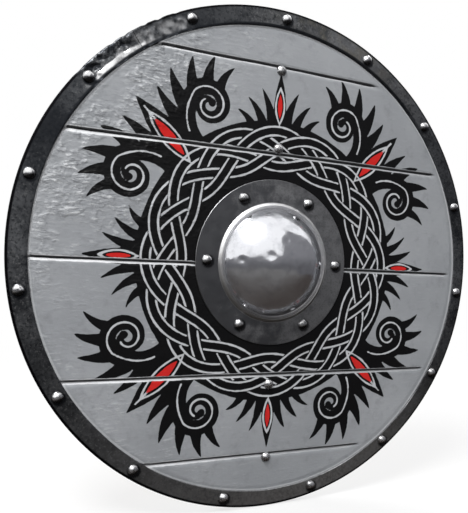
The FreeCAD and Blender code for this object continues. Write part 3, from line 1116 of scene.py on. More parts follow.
def row_heights(low, high):
    """Even steps, the arris rows at both edges, and rows that follow the two circles where they are flat."""
    count = int((high - low) / mesh_step)
    rows = [np.linspace(low, high, count), low + arris_rows, high - arris_rows]
    for radius in (hand_hole_radius, board_radius):
        curve = radius * np.cos(np.radians(circle_rows_deg))
        rows.append(np.concatenate([curve, -curve]))
    rows = np.unique(np.round(np.concatenate(rows), row_decimals))
    rows = rows[(rows >= low - weld_distance) & (rows <= high + weld_distance)]
    apart = np.concatenate([[True], np.diff(rows) > least_step])
    apart[-1] = True
    return rows[apart]


def plank_grid(low, high):
    """A row's reach is the root of the radius squared less its height squared, and likewise in the hole."""
    rows = row_heights(low, high)[:, None]
    reach = np.sqrt(np.maximum(board_radius ** 2 - rows ** 2, 0))
    hole = np.sqrt(np.maximum(hand_hole_radius ** 2 - rows ** 2, 0))
    count = int(reach.max() / mesh_step)
    share = np.linspace(0, 1, count)[None, :]
    right = hole + (reach - hole) * share
    x = np.hstack([-right[:, ::-1], right])
    z = np.repeat(rows, x.shape[1], axis=1)
    faces = grid_faces(*x.shape)
    return x, z, faces[faces[:, 0] % x.shape[1] != count - 1]


print("rows of the upper middle plank:", len(row_heights(middle_low.z, middle_high.z)))

# %% [markdown]
# Each arris is rounded over, so a seam is a small valley: its upper side is in shade and its lower side
# catches the light. A Bevel modifier would round every edge alike. Here the lit side is rounded wider, the
# seam wanders a little, and at the right it closes up before the rim.

# %% What a seam does to a plank
lit_arris, shaded_arris = 4.4 * mm, 2.5 * mm
arris_depth, back_arris = 2.6 * mm, 0.8 * mm
arris_power, arris_swell, arris_swell_size = 1.3, 0.30, 31 * mm
seam_gap, seam_wander, seam_wander_size = 1.1 * mm, 0.45 * mm, 90 * mm
seam_end_inset, seam_end_length = 4 * mm, 9 * mm
far_from_seam = 9.0 * mm
shade_level, shade_reach = 1.25, 0.85
# On the lit side of a seam the pale crest is drawn wider towards the upper left, as a painted highlight.
lit_crest_wider, lit_crest_left, lit_crest_high = 0.38, (-110 * mm, -120 * mm), (-60 * mm, 150 * mm)


def seam_offset(x, height):
    """How far a seam wanders up or down from straight: slow noise along X, its seed taken from the height."""
    return seam_wander * uneven_along(x, seam_wander_size, round(height / mm))


def arris_drop(width, depth, distance, x, seed):
    """Rounding at an edge: the depth times a power of the share of the way to it, uneven along X."""
    swell = 1 + arris_swell * uneven_along(x, arris_swell_size, seed)
    return depth * swell * np.clip(1 - distance / (width * swell), 0, 1) ** arris_power


def open_seam(x, z):
    """1 where a seam is open, and 0 close to the rim on the right."""
    closing = rise(np.hypot(x, z), rim_low_radius - seam_end_inset, -seam_end_length)
    return np.where(x > 0, closing, 1.0)


def seam_changes(x, z, low, high, seam):
    """Drops, shifts and shares that one seam gives to the points of the plank between low and high."""
    distance, seam_open = np.abs(z - seam), open_seam(x, z)
    lit = seam > (low + high) / 2
    nearness = (1 - distance / (high - low)) * seam_open
    wander = seam_offset(x, seam) * clear_band(np.hypot(x, z)) * nearness
    # the pale crest reaches further on the lit side at the upper left: a painted highlight
    rubbed = 1 - lit_crest_wider * lit * rise(x, *lit_crest_left) * rise(seam, *lit_crest_high)
    width = lit_arris if lit else shaded_arris
    return {
        "front": arris_drop(width, arris_depth, distance, x, round(seam / mm) + lit) * seam_open,
        "back": -arris_drop(back_arris, back_arris, distance, x, 5),
        "front_z": wander + seam_gap / 2 * nearness * np.sign((low + high) / 2 - seam),
        "back_z": wander,
        "arris": distance * rubbed + (1 - seam_open) * far_from_seam,
        # painted shade on the upper side of a seam
        "shaded": 0 if lit else smooth_step(shade_level - distance / (shade_reach * shaded_arris)) * seam_open,
    }


print("seams wander by up to", round(seam_wander / mm, 2), "mm, and are", round(seam_gap / mm, 1), "mm wide")

# %% [markdown]
# A second grid is the plank's back, and a wall joins the two along their outline, which makes a closed
# solid. The front and the wall are painted, and the back stays bare.

# %% Plank surfaces
edge_dip, edge_dip_width = 0.8 * mm, 5 * mm
# How strongly the pale crest shows, stronger at the left: partly wear, partly a painted highlight.
crest_share_right, crest_share_left, crest_share_rise = 0.30, 0.95, (60 * mm, -260 * mm)


def plank_fields(node, x, z, arris, shaded):
    """The numbers that the paint and the bare wood read, at every point of the plank's grid."""
    black, lines, red = painted_design(x / mm, z / mm)
    return {
        "black": black, "lines": lines, "red": red,
        "arris": arris / mm, "shaded_arris": shaded,
        "from_rim": (rim_edge_radius(x, z) - np.hypot(x, z)) / mm,
        "coarse": coarseness(x, z),
        "plank": np.full(x.shape, plank_nodes.index(node) + 1.0),
        "wear": crest_share_right + (crest_share_left - crest_share_right) * rise(x, *crest_share_rise),
    }


def make_plank(node):
    """The front stops short of each seam, so that seams are open in front, and the backs of the planks meet."""
    low, high = (corner.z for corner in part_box(node))
    x, z, faces = plank_grid(low, high)
    radius = np.hypot(x, z)
    dip = edge_dip * rise(radius, rim_low_radius - edge_dip_width, edge_dip_width)
    front = board_front + ripples(x, z) * clear_band(radius) + dip
    back = np.full(x.shape, board_back)
    front_z, back_z = z.copy(), z.copy()
    arris, shaded = np.full(x.shape, far_from_seam), np.zeros(x.shape)
    for seam in (height for height in (low, high) if abs(height) < board_radius - mm):
        change = seam_changes(x, z, low, high, seam)
        front, back = front + change["front"], back + change["back"]
        front_z, back_z = front_z + change["front_z"], back_z + change["back_z"]
        arris = np.minimum(arris, change["arris"])
        shaded = np.maximum(shaded, change["shaded"])
    points = np.stack([np.stack([x, front, front_z], axis=-1), np.stack([x, back, back_z], axis=-1)])
    _, faces, first = weld(np.stack([x, z], axis=-1).reshape(-1, 2), faces)
    count = len(first)
    start, end = outline_edges(faces)
    walls = np.stack([end, start, start + count, end + count], axis=1)
    every_face = np.vstack([faces, faces[:, ::-1] + count, walls])
    every_point = points.reshape(2, -1, 3)[:, first].reshape(-1, 3)
    bare = np.concatenate([np.zeros(len(faces)), np.ones(len(faces)), np.zeros(len(walls))])
    fields = plank_fields(node, x, z, arris, shaded)
    fields = {name: np.tile(values.ravel()[first], 2) for name, values in fields.items()}
    finishes = [painted_board, plank_wood]
    make_piece(node + "_painted", node, every_point, every_face, finishes, bare, fields)


for node in plank_nodes:
    make_plank(node)

# %% [markdown]
# ## The rim
# The rim is one strip of steel, hammered over the edge of the board into a channel. The dark skin of the
# sheet is left in blotches. The fold is painted near black as shade, and the lip next to the board gets a
# painted shadow. Between them the steel is grey, with a film of rust at the upper right, and at the foot
# it is scoured pale. One picture wrapped round the rim would meet itself in a line, so clouds give the
# colours, and fields say where they go.

# %% Colours of the rim
rim_steel_grey = (0.077, 0.081, 0.087, 1.0)
rim_steel_worn = (0.247, 0.254, 0.266, 1.0)
rim_steel_dark = (0.016, 0.018, 0.022, 1.0)
# Near black: painted shade along the fold.
rim_steel_fold_shade = (0.005, 0.005, 0.006, 1.0)
rim_steel_rusty = (0.235, 0.215, 0.165, 1.0)
rim_steel_flecks = (0.42, 0.42, 0.42, 1.0)
rim_steel_scoured = (0.58, 0.585, 0.59, 1.0)
rim_steel_rubbed = (0.90, 0.90, 0.91, 1.0)
print("rubbed steel is", round(rim_steel_rubbed[0] / rim_steel_grey[0]), "times as light as the rest")

# %% [markdown]
# Each layer lies over the last, so that rubbed steel covers the skin, the scouring and the rust.

# %% The recipe of the rim's steel
worn_cloud, worn_range = (24.0, 5.0, 0.70), (0.34, 0.66)
smear_cloud, rusty_smears, dark_smears = (60.0, 4.0, 0.6), (0.35, 0.6), (0.52, 0.75, 0.0, 0.5)
rubbed_smears = (0.36, 0.56, 0.30, 1.0)
blot_cloud, dark_blots, scoured_blots = (260.0, 3.0, 0.6), (0.48, 0.66, 0.0, 0.60), (0.30, 0.66, 0.45, 1.0)
fleck_cloud, fleck_range = (420.0, 3.0, 0.6), (0.54, 0.70, 0.0, 0.45)
pit_cloud, pit_range, pit_share = (125.0, 2.0, 0.5), (0.50, 0.40), 0.9
rim_dust_share = 0.055
rim_gloss_range, rubbed_polish, folded_roughness = (*most_of_a_cloud, 0.36, 0.46), 0.14, 0.30
smear_relief, pit_relief, fleck_relief = 0.35 * mm, 2.4 * mm, 0.06 * mm


def make_rim_steel():
    """From the bottom up: worn, rust, smears, blots, flecks, scoured, kept skin with painted shadow and shade,
    rubbed, painted shade at the fold, pits.
    """
    material, tree, shader = new_finish("rim_steel")
    place = place_on_object(tree)
    smears = cloud(tree, place, *smear_cloud)
    blots = cloud(tree, place, *blot_cloud)
    flecks = cloud(tree, place, *fleck_cloud)
    pits = cloud(tree, place, *pit_cloud)
    scuff, beaten, folded = (field(tree, name) for name in ("scuff", "beaten", "fold"))
    scoured = times(tree, field(tree, "scoured"), remap(tree, blots, *scoured_blots))
    in_pit = times(tree, remap(tree, pits, *pit_range), beaten)
    colour = layered(tree, rim_steel_grey, [
        (remap(tree, cloud(tree, place, *worn_cloud), *worn_range), rim_steel_worn),
        (times(tree, field(tree, "rust"), remap(tree, smears, *rusty_smears)), rim_steel_rusty),
        (remap(tree, smears, *dark_smears), rim_steel_dark),
        (remap(tree, blots, *dark_blots), rim_steel_dark),
        (remap(tree, flecks, *fleck_range), rim_steel_flecks),
        (scoured, rim_steel_scoured),
        # the kept dark skin, with painted shadow at the lip, painted shade at the fold, and painted shadow and
        # dirt by the rivets
        (field(tree, "skin"), rim_steel_dark),
        (times(tree, scuff, remap(tree, smears, *rubbed_smears)), rim_steel_rubbed),
        # painted shade along the fold
        (folded, rim_steel_fold_shade),
        (times(tree, in_pit, pit_share), rim_steel_dark),
    ])
    plug(tree, colour, shader["Base Color"])
    plug(tree, scaled(tree, scoured, -rim_dust_share, 1.0), shader["Metallic"])
    rough = remap(tree, flecks, *rim_gloss_range)
    rough = calc(tree, "SUBTRACT", rough, times(tree, scuff, rubbed_polish))
    plug(tree, scaled(tree, folded, folded_roughness, rough), shader["Roughness"])
    relief = bump(tree, smears, smear_relief)
    relief = bump(tree, times(tree, pits, beaten), pit_relief, relief)
    plug(tree, bump(tree, flecks, fleck_relief, relief), shader["Normal"])
    return counted(material)


rim_steel = make_rim_steel()

# %% [markdown]
# The channel's section is a closed line: round the outside from lip to lip, and back along the inside, one
# sheet away. Blender could screw this line round the axis, but the dents and the wear need the place of
# each point.

# %% The rim's section
rim_sheet = 1.5 * mm
rim_bend = 2.4 * mm
rim_lip = 0.4 * mm


def rim_section():
    """Distances from the axis and places along Y, and which of the points are on the outer skin."""
    inner = rim_low_radius
    flat_end = shield_radius - rim_bend
    front_bend, back_bend = (flat_end, rim_front + rim_bend), (flat_end, rim_back - rim_bend)
    inside_bend = rim_bend - rim_sheet
    outer = np.vstack([
        line((inner + rim_lip, rim_front), (flat_end, rim_front), count=19),
        arc(front_bend, rim_bend, -90, 0, count=8)[1:],
        line((shield_radius, front_bend[1]), (shield_radius, back_bend[1]), count=5)[1:],
        arc(back_bend, rim_bend, 0, 90, count=8)[1:],
        line((flat_end, rim_back), (inner + rim_lip, rim_back), count=12)[1:],
    ])
    hidden = np.vstack([
        [(inner, rim_back - rim_lip), (inner, rim_back - rim_sheet)],
        line((inner + mm, rim_back - rim_sheet), (flat_end, rim_back - rim_sheet), count=3),
        arc(back_bend, inside_bend, 90, 0, count=4)[1:],
        arc(front_bend, inside_bend, 0, -90, count=4),
        line((flat_end, rim_front + rim_sheet), (inner + mm, rim_front + rim_sheet), count=3)[1:],
        [(inner, rim_front + rim_sheet), (inner, rim_front + rim_lip)],
    ])
    return np.vstack([outer, hidden]), np.arange(len(outer) + len(hidden)) < len(outer)


print("the channel's section has", len(rim_section()[0]), "points")

# %% [markdown]
# The section is carried round a circle and stops just short of where it began: the joint where the ends of
# the strip meet. A flat cap closes each end.

# %% The rim's grid
rim_stations = 1100
rim_joint_gap = 0.6 * mm


def rim_grid():
    """The angle of each station, and then the distance from the axis and the place along Y of every point."""
    section, on_skin = rim_section()
    gap = rim_joint_gap / shield_radius
    angle = math.radians(rim_joint_deg) + np.linspace(gap / 2, full_turn - gap / 2, rim_stations)[:, None]
    radius, y = (np.repeat(section[None, :, k], rim_stations, axis=0) for k in (0, 1))
    return angle, radius, y, on_skin


def rim_faces(section_count):
    """The grid, and two caps that join each point of the section's first half to the one across from it."""
    first = np.arange(section_count)
    last = first + (rim_stations - 1) * section_count
    half = section_count // 2
    across = section_count - 1 - first
    caps = [
        np.stack([row[:half - 1], row[1:half], row[across[1:half]], row[across[:half - 1]]], axis=1)
        for row in (first[::-1], last)
    ]
    return np.vstack([grid_faces(rim_stations, section_count, close_columns=True)] + caps)


print("rim stations are", round(full_turn * shield_radius / rim_stations / mm, 2), "mm apart")

# %% [markdown]
# At the upper left the rim has taken blows: its face is dented, its corner is bitten, and along the half
# that was rubbed bare runs a hammered groove. These are moved points, because they break the highlight
# along the fold.

# %% Dents in the rim
beaten_from_deg, beaten_to_deg = 112.0, 143.0
beaten_starts, beaten_ends = 0.05, 0.07
rubbed_from_deg, rubbed_starts_deg = 121.0, 10.0
wave_size, wave_depth = 34 * mm, 0.12 * mm
blow_size, blow_power, blow_depth = 9 * mm, 0.8, 1.2 * mm
bite_size, bite_width, bite_depth = 7 * mm, 6 * mm, 1.25 * mm
groove_middle, groove_width, groove_wander, groove_depth = 293.0 * mm, 4.2 * mm, 1.5 * mm, 1.3 * mm
edge_width = 4 * mm


def beaten_and_rubbed(angle):
    """1 in the stretch that took the blows, and 1 from where that stretch was also rubbed bare."""
    turned = angle % full_turn
    starts = rise(turned, math.radians(beaten_from_deg), beaten_starts)
    ends = rise(turned, math.radians(beaten_to_deg), -beaten_ends)
    return starts * ends, rise(np.degrees(turned), rubbed_from_deg, rubbed_starts_deg)


def dented(angle, radius, y, on_skin):
    """Blows push the face back by a power of noise, the groove by a bell curve. Bites cut the corner."""
    stretch, rubbed = beaten_and_rubbed(angle)
    x, z = radius * np.cos(angle), radius * np.sin(angle)
    wave = uneven_over(x, z, wave_size, 21)
    blows = np.abs(uneven_over(x, z, blow_size, 22)) ** blow_power
    at_corner = rise(radius, shield_radius - bite_width, bite_width)
    bites = np.maximum(uneven_over(x, z, bite_size, 23), 0) * at_corner
    groove = np.exp(-((radius - groove_middle + groove_wander * wave) / groove_width) ** 2) * rubbed
    pushed = wave_depth * (wave + 1) + stretch * (blow_depth * blows + groove_depth * groove)
    in_front = rise(y, rim_front + 2 * rim_sheet, -rim_sheet)
    bitten_radius = radius - on_skin * stretch * bite_depth * bites
    at_edge = rise(bitten_radius, rim_low_radius + edge_width, -edge_width)
    moved_radius = bitten_radius + at_edge * (rim_edge_radius(x, z) - rim_low_radius)
    return moved_radius, y + on_skin * in_front * pushed


sample_angle, sample_radius, sample_y, sample_skin = rim_grid()
sample_dents = dented(sample_angle, sample_radius, sample_y, sample_skin)[1] - sample_y
print("the deepest dent is", round(sample_dents.max() / mm, 2), "mm")

# %% [markdown]
# Beside every rivet head there is dirt and a painted shadow, which falls more to its lower right. The
# distance to the nearest of all the heads does for the rim and for the boss.

# %% Dirt and painted shadow beside the rivets
rivet_head_radius = 6.5 * mm
# Painted shadow falls to the lower right of each head, so distances are taken from a point shifted that way.
shadow_shift = np.array([1.1, -1.5]) * mm
dirt_and_shadow_reach, dirt_and_shadow_fade = 2.2 * mm, 1.6 * mm


def dirt_and_shadow_by_rivets(x, z, places):
    """Dirt and painted shadow: 1 right beside a rivet head, fading to 0 within two millimetres."""
    heads = np.asarray(places) + shadow_shift
    away = np.min([np.hypot(x - head_x, z - head_z) for head_x, head_z in heads], axis=0)
    return rise(away, rivet_head_radius + dirt_and_shadow_reach, -dirt_and_shadow_fade)


print("a point 9 mm from a rivet is", dirt_and_shadow_by_rivets(9 * mm, 0.0, [(0.0, 0.0)]).round(2), "dirty")

# %% [markdown]
# Wear is laid round the rim in bell curves. Each row gives where one stands in degrees, how wide it is, and
# how strong. The lip next to the board gets a painted shadow at the top and the left, and the fold painted
# shade nearly all round.

# %% Wear round the rim
kept_skin_rows = [
    (154.0, 13.0, 0.93), (174.0, 9.0, 0.34), (112.0, 17.0, 0.84),
    (204.0, 13.0, 0.40), (26.0, 22.0, 0.52), (340.0, 15.0, 0.32),
]
scoured_rows = [(284.0, 32.0, 0.90), (240.0, 20.0, 0.22), (68.0, 12.0, 0.26)]
rust_rows = [(72.0, 15.0, 0.75), (305.0, 20.0, 0.25)]
# Painted shadow on the lip next to the board: its share at each angle, its width, fade and strongest share.
lip_shade_deg = [0.0, 30.0, 50.0, 150.0, 165.0, 190.0, 215.0, 360.0]
lip_shade_shares = [0.0, 0.15, 1.0, 1.0, 0.7, 0.3, 0.0, 0.0]
lip_shade_width, lip_shade_fade, lip_shade_most = 3.6 * mm, 1.3 * mm, 0.95
inner_side_inset, inner_side_wander, inner_side_fade = 12.5 * mm, 2.5 * mm, 3 * mm
blotch_size, small_blotch_size, small_blotch_share = 11 * mm, 5 * mm, 0.7
blotch_level, blotch_swing, blotch_inset = 0.26, 1.1, 4 * mm
rubbed_bright, blotch_bright, blotch_less_where_rubbed = 1.05, 0.25, 0.10
# Painted shade along the fold: where it starts, how it fades, and how far back it reaches.
fold_inset, fold_fade, fold_depth = 3.9 * mm, 1.6 * mm, 2.2
# Painted shadow and dirt beside the rivets.
rivet_dirt_and_shadow_share = 0.90
beaten_least, smoothed_share = 0.16, 0.85


def bells(angle_deg, rows):
    """The sum of bell curves: e to the power of minus the square of how many widths away the middle is."""
    return sum(share * np.exp(-((angle_deg - middle) / width) ** 2) for middle, width, share in rows)


def bright_blotches(x, z, radius):
    """Two sizes of noise added, lifted by a level and cut off by a smooth step, and none at the corner."""
    noise = uneven_over(x, z, blotch_size, 27)
    noise = noise + small_blotch_share * uneven_over(x, z, small_blotch_size, 28)
    off_corner = rise(radius, shield_radius - blotch_inset, -blotch_inset)
    return smooth_step(blotch_level + blotch_swing * noise) * off_corner


print("kept skin at 154 degrees:", round(float(bells(154.0, kept_skin_rows)), 2))

# %% [markdown]
# The rubbed stretch is brightest on the inner side of the face, and blotchy beyond. Where it is bright, the
# skin, the painted shadow at the lip, and the painted shadow and dirt beside the rivets give way.

# %% The rim channel


def rim_fields(angle, x, z, radius, y):
    """The shares that the rim's recipe reads, at every point of its grid."""
    turned_deg = np.degrees(angle % full_turn)
    stretch, rubbed = beaten_and_rubbed(angle)
    wave = uneven_over(x, z, wave_size, 21)
    inner_side = rise(radius + inner_side_wander * wave, shield_radius - inner_side_inset, -inner_side_fade)
    # painted shadow on the lip next to the board, at the top and the left
    lip_shade = rise(radius, rim_edge_radius(x, z) + lip_shade_width, -lip_shade_fade)
    lip_shade = lip_shade * np.interp(turned_deg, lip_shade_deg, lip_shade_shares)
    blotch_share = blotch_bright - blotch_less_where_rubbed * rubbed
    bright = rubbed_bright * rubbed * inner_side + blotch_share * bright_blotches(x, z, radius)
    # painted shadow and dirt beside the rivet heads
    dirt = dirt_and_shadow_by_rivets(x, z, rim_places)
    scuff = stretch * np.clip(bright, 0, 1) * (1 - lip_shade) * (1 - dirt)
    # painted shade along the fold, except where the steel is rubbed bare
    at_fold = rise(radius, shield_radius - fold_inset, fold_fade)
    at_fold = at_fold * rise(y, rim_front + fold_depth * rim_bend, -rim_bend)
    fold_shade = at_fold * (1 - stretch * rubbed)
    kept_skin = bells(turned_deg, kept_skin_rows) * (1 - scuff)
    return {
        "scuff": scuff,
        "skin": np.max([kept_skin, fold_shade, lip_shade_most * lip_shade, rivet_dirt_and_shadow_share * dirt], axis=0),
        "fold": fold_shade,
        "scoured": bells(turned_deg, scoured_rows) * (1 - fold_shade),
        "rust": bells(turned_deg, rust_rows) * np.ones(radius.shape),
        "beaten": stretch * at_least(beaten_least, rubbed) * (1 - smoothed_share * inner_side * rubbed),
    }


def make_rim():
    """x = radius times cosine, z = radius times sine, with the dents taken off the outer skin."""
    angle, radius, y, on_skin = rim_grid()
    x, z = radius * np.cos(angle), radius * np.sin(angle)
    radius, y = dented(angle, radius, y, on_skin)
    points = np.stack([radius * np.cos(angle), y, radius * np.sin(angle)], axis=-1)
    faces, fields = rim_faces(radius.shape[1]), rim_fields(angle, x, z, radius, y)
    make_piece("rim_channel_steel", "rim_channel", points, faces, [rim_steel], fields=fields)


make_rim()

# %% [markdown]
# ## The boss
# One sheet of steel was pressed into a dome with a rolled bead at its foot and a flat flange. The dome was
# polished and is smudged. The bead is painted darker on its lower side as shade, and the flange kept its
# dark skin, painted paler towards the right as light. Each is a ring, so the distance from the axis says
# which finish a point has. Separate materials would meet in a hard line.

# %% Finish of the boss
dome_steel = (0.87, 0.88, 0.92, 1.0)
dome_smudged = (0.72, 0.73, 0.77, 1.0)
bead_steel = (0.92, 0.92, 0.93, 1.0)
# The bead's lower side gets this darker colour as painted shade.
bead_painted_shade = (0.36, 0.355, 0.35, 1.0)
flange_steel = (0.135, 0.138, 0.147, 1.0)
flange_pale = (0.310, 0.313, 0.322, 1.0)
across_axis = (1.0, 0.0, 1.0)
bead_ring = (bead_middle - 4.0 * mm, bead_middle - 2.4 * mm)
flange_ring = (bead_middle + 2.3 * mm, bead_middle + 3.6 * mm)
worn_ring, worn_ring_share = (boss_flange_radius - 0.5 * mm, boss_flange_radius - 0.15 * mm), 0.30
smudge_cloud, smudge_range, smudge_gloss = (75.0, 4.0, 0.6), (0.45, 0.70), (0.35, 0.70, 0.12, 0.22)
bead_shade_heights = (-50 * mm, 35 * mm)
# The slope makes the flange paler towards the right: painted light.
skin_cloud, skin_range, painted_light_slope = (38.0, 5.0, 0.72), (0.38, 0.66), 2.4
grit_cloud, grit_range = (500.0, 3.0, 0.6), (0.48, 0.68, 0.0, 0.45)
# Painted shadow and dirt beside the flange's rivets.
flange_dirt_and_shadow_share = 0.88
bead_roughness, flange_roughness = 0.24, 0.04
wide_wave_cloud, wide_wave = (48.0, 2.0), 0.42 * mm
small_wave_cloud, small_wave = (140.0, 2.0), 0.13 * mm
grit_relief = 0.05 * mm


def flange_colour(tree, place, grit):
    """Dark skin, paler in patches and, as painted light, towards the right, with dark grit on it and painted
    shadow and dirt beside the rivets.
    """
    rightwards = add(tree, "SeparateXYZ", {"Vector": place})["X"]
    # paler in patches from a cloud, and towards the right as painted light
    worn = scaled(tree, rightwards, painted_light_slope, cloud(tree, place, *skin_cloud))
    return layered(tree, flange_steel, [
        (remap(tree, worn, *skin_range), flange_pale),
        (remap(tree, grit, *grit_range), flange_steel),
        # painted shadow and dirt beside the rivets
        (times(tree, field(tree, "rivet_dirt_and_shadow"), flange_dirt_and_shadow_share), painted_shade_and_dirt),
    ])


def make_boss_steel():
    """Three finishes in rings round the axis, each laid over the last: dome, bead and flange."""
    material, tree, shader = new_finish("boss_steel")
    place = place_on_object(tree)
    radius = distance_along(tree, across_axis)
    grit = cloud(tree, place, *grit_cloud)
    smudges = cloud(tree, place, *smudge_cloud)
    height = add(tree, "SeparateXYZ", {"Vector": place})["Z"]
    on_bead = remap(tree, radius, *bead_ring)
    worn_edge = times(tree, remap(tree, radius, *worn_ring), worn_ring_share)
    on_flange = calc(tree, "SUBTRACT", remap(tree, radius, *flange_ring), worn_edge)
    colour = layered(tree, dome_steel, [
        (remap(tree, smudges, *smudge_range), dome_smudged),
        # the bead painted darker towards its lower side, as shade
        (on_bead, mixed(tree, remap(tree, height, *bead_shade_heights), bead_painted_shade, bead_steel)),
        (on_flange, flange_colour(tree, place, grit)),
    ])
    plug(tree, colour, shader["Base Color"])
    shader["Metallic"].default_value = 1.0
    rough = scaled(tree, on_bead, bead_roughness, remap(tree, smudges, *smudge_gloss))
    plug(tree, scaled(tree, on_flange, flange_roughness, rough), shader["Roughness"])
    wavy = bump(tree, cloud(tree, place, *wide_wave_cloud), wide_wave)
    wavy = bump(tree, cloud(tree, place, *small_wave_cloud), small_wave, wavy)
    plug(tree, bump(tree, times(tree, grit, on_flange), grit_relief, wavy), shader["Normal"])
    return counted(material)


boss_steel = make_boss_steel()

# %% [markdown]
# Nobody polished the inside of the boss. It is bare pressed steel, grey and a little rough.

# %% Finish of the boss's inside
inside_light, inside_dark = grey(0.30), grey(0.14)
inside_cloud, inside_range, inside_gloss = (30.0, 4.0), (0.35, 0.7), (*most_of_a_cloud, 0.42, 0.55)
inside_grit_cloud, inside_relief = (420.0, 3.0), 0.08 * mm


def make_boss_inside():
    """Two greys mixed by a cloud, which also says how rough the steel is."""
    material, tree, shader = new_finish("boss_inside")
    place = place_on_object(tree)
    patches = cloud(tree, place, *inside_cloud)
    share = remap(tree, patches, *inside_range)
    plug(tree, mixed(tree, share, inside_light, inside_dark), shader["Base Color"])
    shader["Metallic"].default_value = 1.0
    plug(tree, remap(tree, patches, *inside_gloss), shader["Roughness"])
    plug(tree, bump(tree, cloud(tree, place, *inside_grit_cloud), inside_relief), shader["Normal"])
    return counted(material)


boss_inside = make_boss_inside()

# %% [markdown]
# The boss and the rivets are turned shapes, as if from a lathe. Blender's Screw modifier does that too, but
# the dents and the hammer marks need the points themselves. A dome is the cap of a sphere, whose radius
# follows from the cap's width and height.

# %% Turned shapes


def turned_points(section, steps, middle=(0.0, 0.0)):
    """x = radius times cosine, z = radius times sine, for each step of a turn and point of the section."""
    angle = np.linspace(0, full_turn, steps, endpoint=False)[:, None]
    x = middle[0] + section[None, :, 0] * np.cos(angle)
    z = middle[1] + section[None, :, 0] * np.sin(angle)
    return np.stack([x, np.repeat(section[None, :, 1], steps, axis=0), z], axis=-1)


def cap_sphere(base_radius, height):
    """Radius of the sphere whose cap has that base and height: their squares added, over twice the height."""
    return (base_radius ** 2 + height ** 2) / (2 * height)


print("a cap 8 mm wide and 2 mm high is cut from a sphere of radius", cap_sphere(4.0, 2.0), "mm")

# %% [markdown]
# The section runs from the crown over the dome, the bead, which is steeper inside than outside, and the
# flat flange with its softened edge. Then it runs back one sheet below, so that the boss is hollow.

# %% The boss's section
boss_sheet = 1.6 * mm
flange_front = board_front - boss_sheet
dome_foot_radius = 68.0 * mm
foot_blend_deg, foot_ease = 1.6, 0.3 * mm
bead_crest, bead_fall_power, bead_points = 69.7 * mm, 1.6, 14
bead_inner_rows = [(1.15 * mm, 0.55), (0.5 * mm, 0.88)]
bead_inside_radius = 1.0 * mm
flange_chamfer = 0.5 * mm

dome_sphere = cap_sphere(dome_foot_radius, flange_front - boss_crown)
dome_centre = boss_crown + dome_sphere


def bead_line():
    """Two points up to the crest, then a fall that is a power of the share of the way down."""
    inner_slope = [(bead_crest - inset, flange_front - up * bead_radius) for inset, up in bead_inner_rows]
    share = np.linspace(0, 1, bead_points)
    outwards = bead_crest + (bead_middle + bead_radius - bead_crest) * share
    down = flange_front - bead_radius * (1 - share ** bead_fall_power)
    return np.vstack([inner_slope, np.stack([outwards, down], axis=1)])


def boss_outside_line():
    """From the crown over dome, bead and flange to the flange's lower edge."""
    foot_deg = math.degrees(math.asin(dome_foot_radius / dome_sphere))
    dome = arc((0, dome_centre), dome_sphere, -90, foot_deg - foot_blend_deg - 90, count=76)
    bead = bead_line()
    flange_end = boss_flange_radius - flange_chamfer
    return np.vstack([
        dome,
        smooth_curve([dome[-1], (dome_foot_radius - foot_ease, flange_front), bead[0]], count=7)[1:],
        bead[1:],
        line((bead_middle + bead_radius, flange_front), (flange_end, flange_front), count=14)[1:],
        [(boss_flange_radius, flange_front + flange_chamfer), (boss_flange_radius, board_front)],
    ])


def boss_inside_line():
    """Back under the flange, through the hollow of the bead, and up the inside of the dome to its crown."""
    inner_sphere = dome_sphere - boss_sheet
    inner_foot = math.sqrt(inner_sphere ** 2 - (dome_centre - board_front) ** 2)
    inner_foot_deg = math.degrees(math.asin(inner_foot / inner_sphere))
    return np.vstack([
        line((boss_flange_radius - mm, board_front), (bead_middle + bead_inside_radius, board_front), count=6),
        arc((bead_middle, flange_front), bead_inside_radius, 0, -180, count=9),
        [(bead_middle - bead_inside_radius, board_front), (inner_foot, board_front)],
        arc((0, dome_centre), inner_sphere, inner_foot_deg - 90, -90, count=40)[1:],
    ])


print("the dome is part of a sphere of radius", round(dome_sphere / mm, 1), "mm")

# %% [markdown]
# The dome has taken a few small round dents. Each row gives its place as shares of the dome's radius, its
# width and its depth in millimetres.

# %% The boss
boss_steps = 400
dome_edge_margin, dent_fade = 0.5 * mm, 6 * mm
dome_unevenness, dome_unevenness_size = 0.14 * mm, 21 * mm
dent_rows = [
    (-0.76, 0.02, 9.0, 0.50), (-0.31, 0.11, 11.5, 0.80), (-0.01, 0.38, 9.0, 0.55),
    (0.40, 0.32, 9.0, 0.45), (0.30, -0.10, 12.0, 0.40), (-0.10, 0.82, 12.0, 0.45), (-0.45, -0.35, 13.0, 0.40),
]


def dome_dents(x, z):
    """A little noise and a bell curve for each dent, fading out towards the foot of the dome."""
    pushed = dome_unevenness * (1 + uneven_over(x, z, dome_unevenness_size, 31))
    for x_share, z_share, width, depth in dent_rows:
        away = np.hypot(x - x_share * dome_foot_radius, z - z_share * dome_foot_radius)
        pushed = pushed + depth * mm * np.exp(-(away / (width / 2 * mm)) ** 2)
    radius = np.hypot(x, z)
    return pushed * rise(radius, dome_foot_radius, -dent_fade) * (radius < dome_foot_radius - dome_edge_margin)


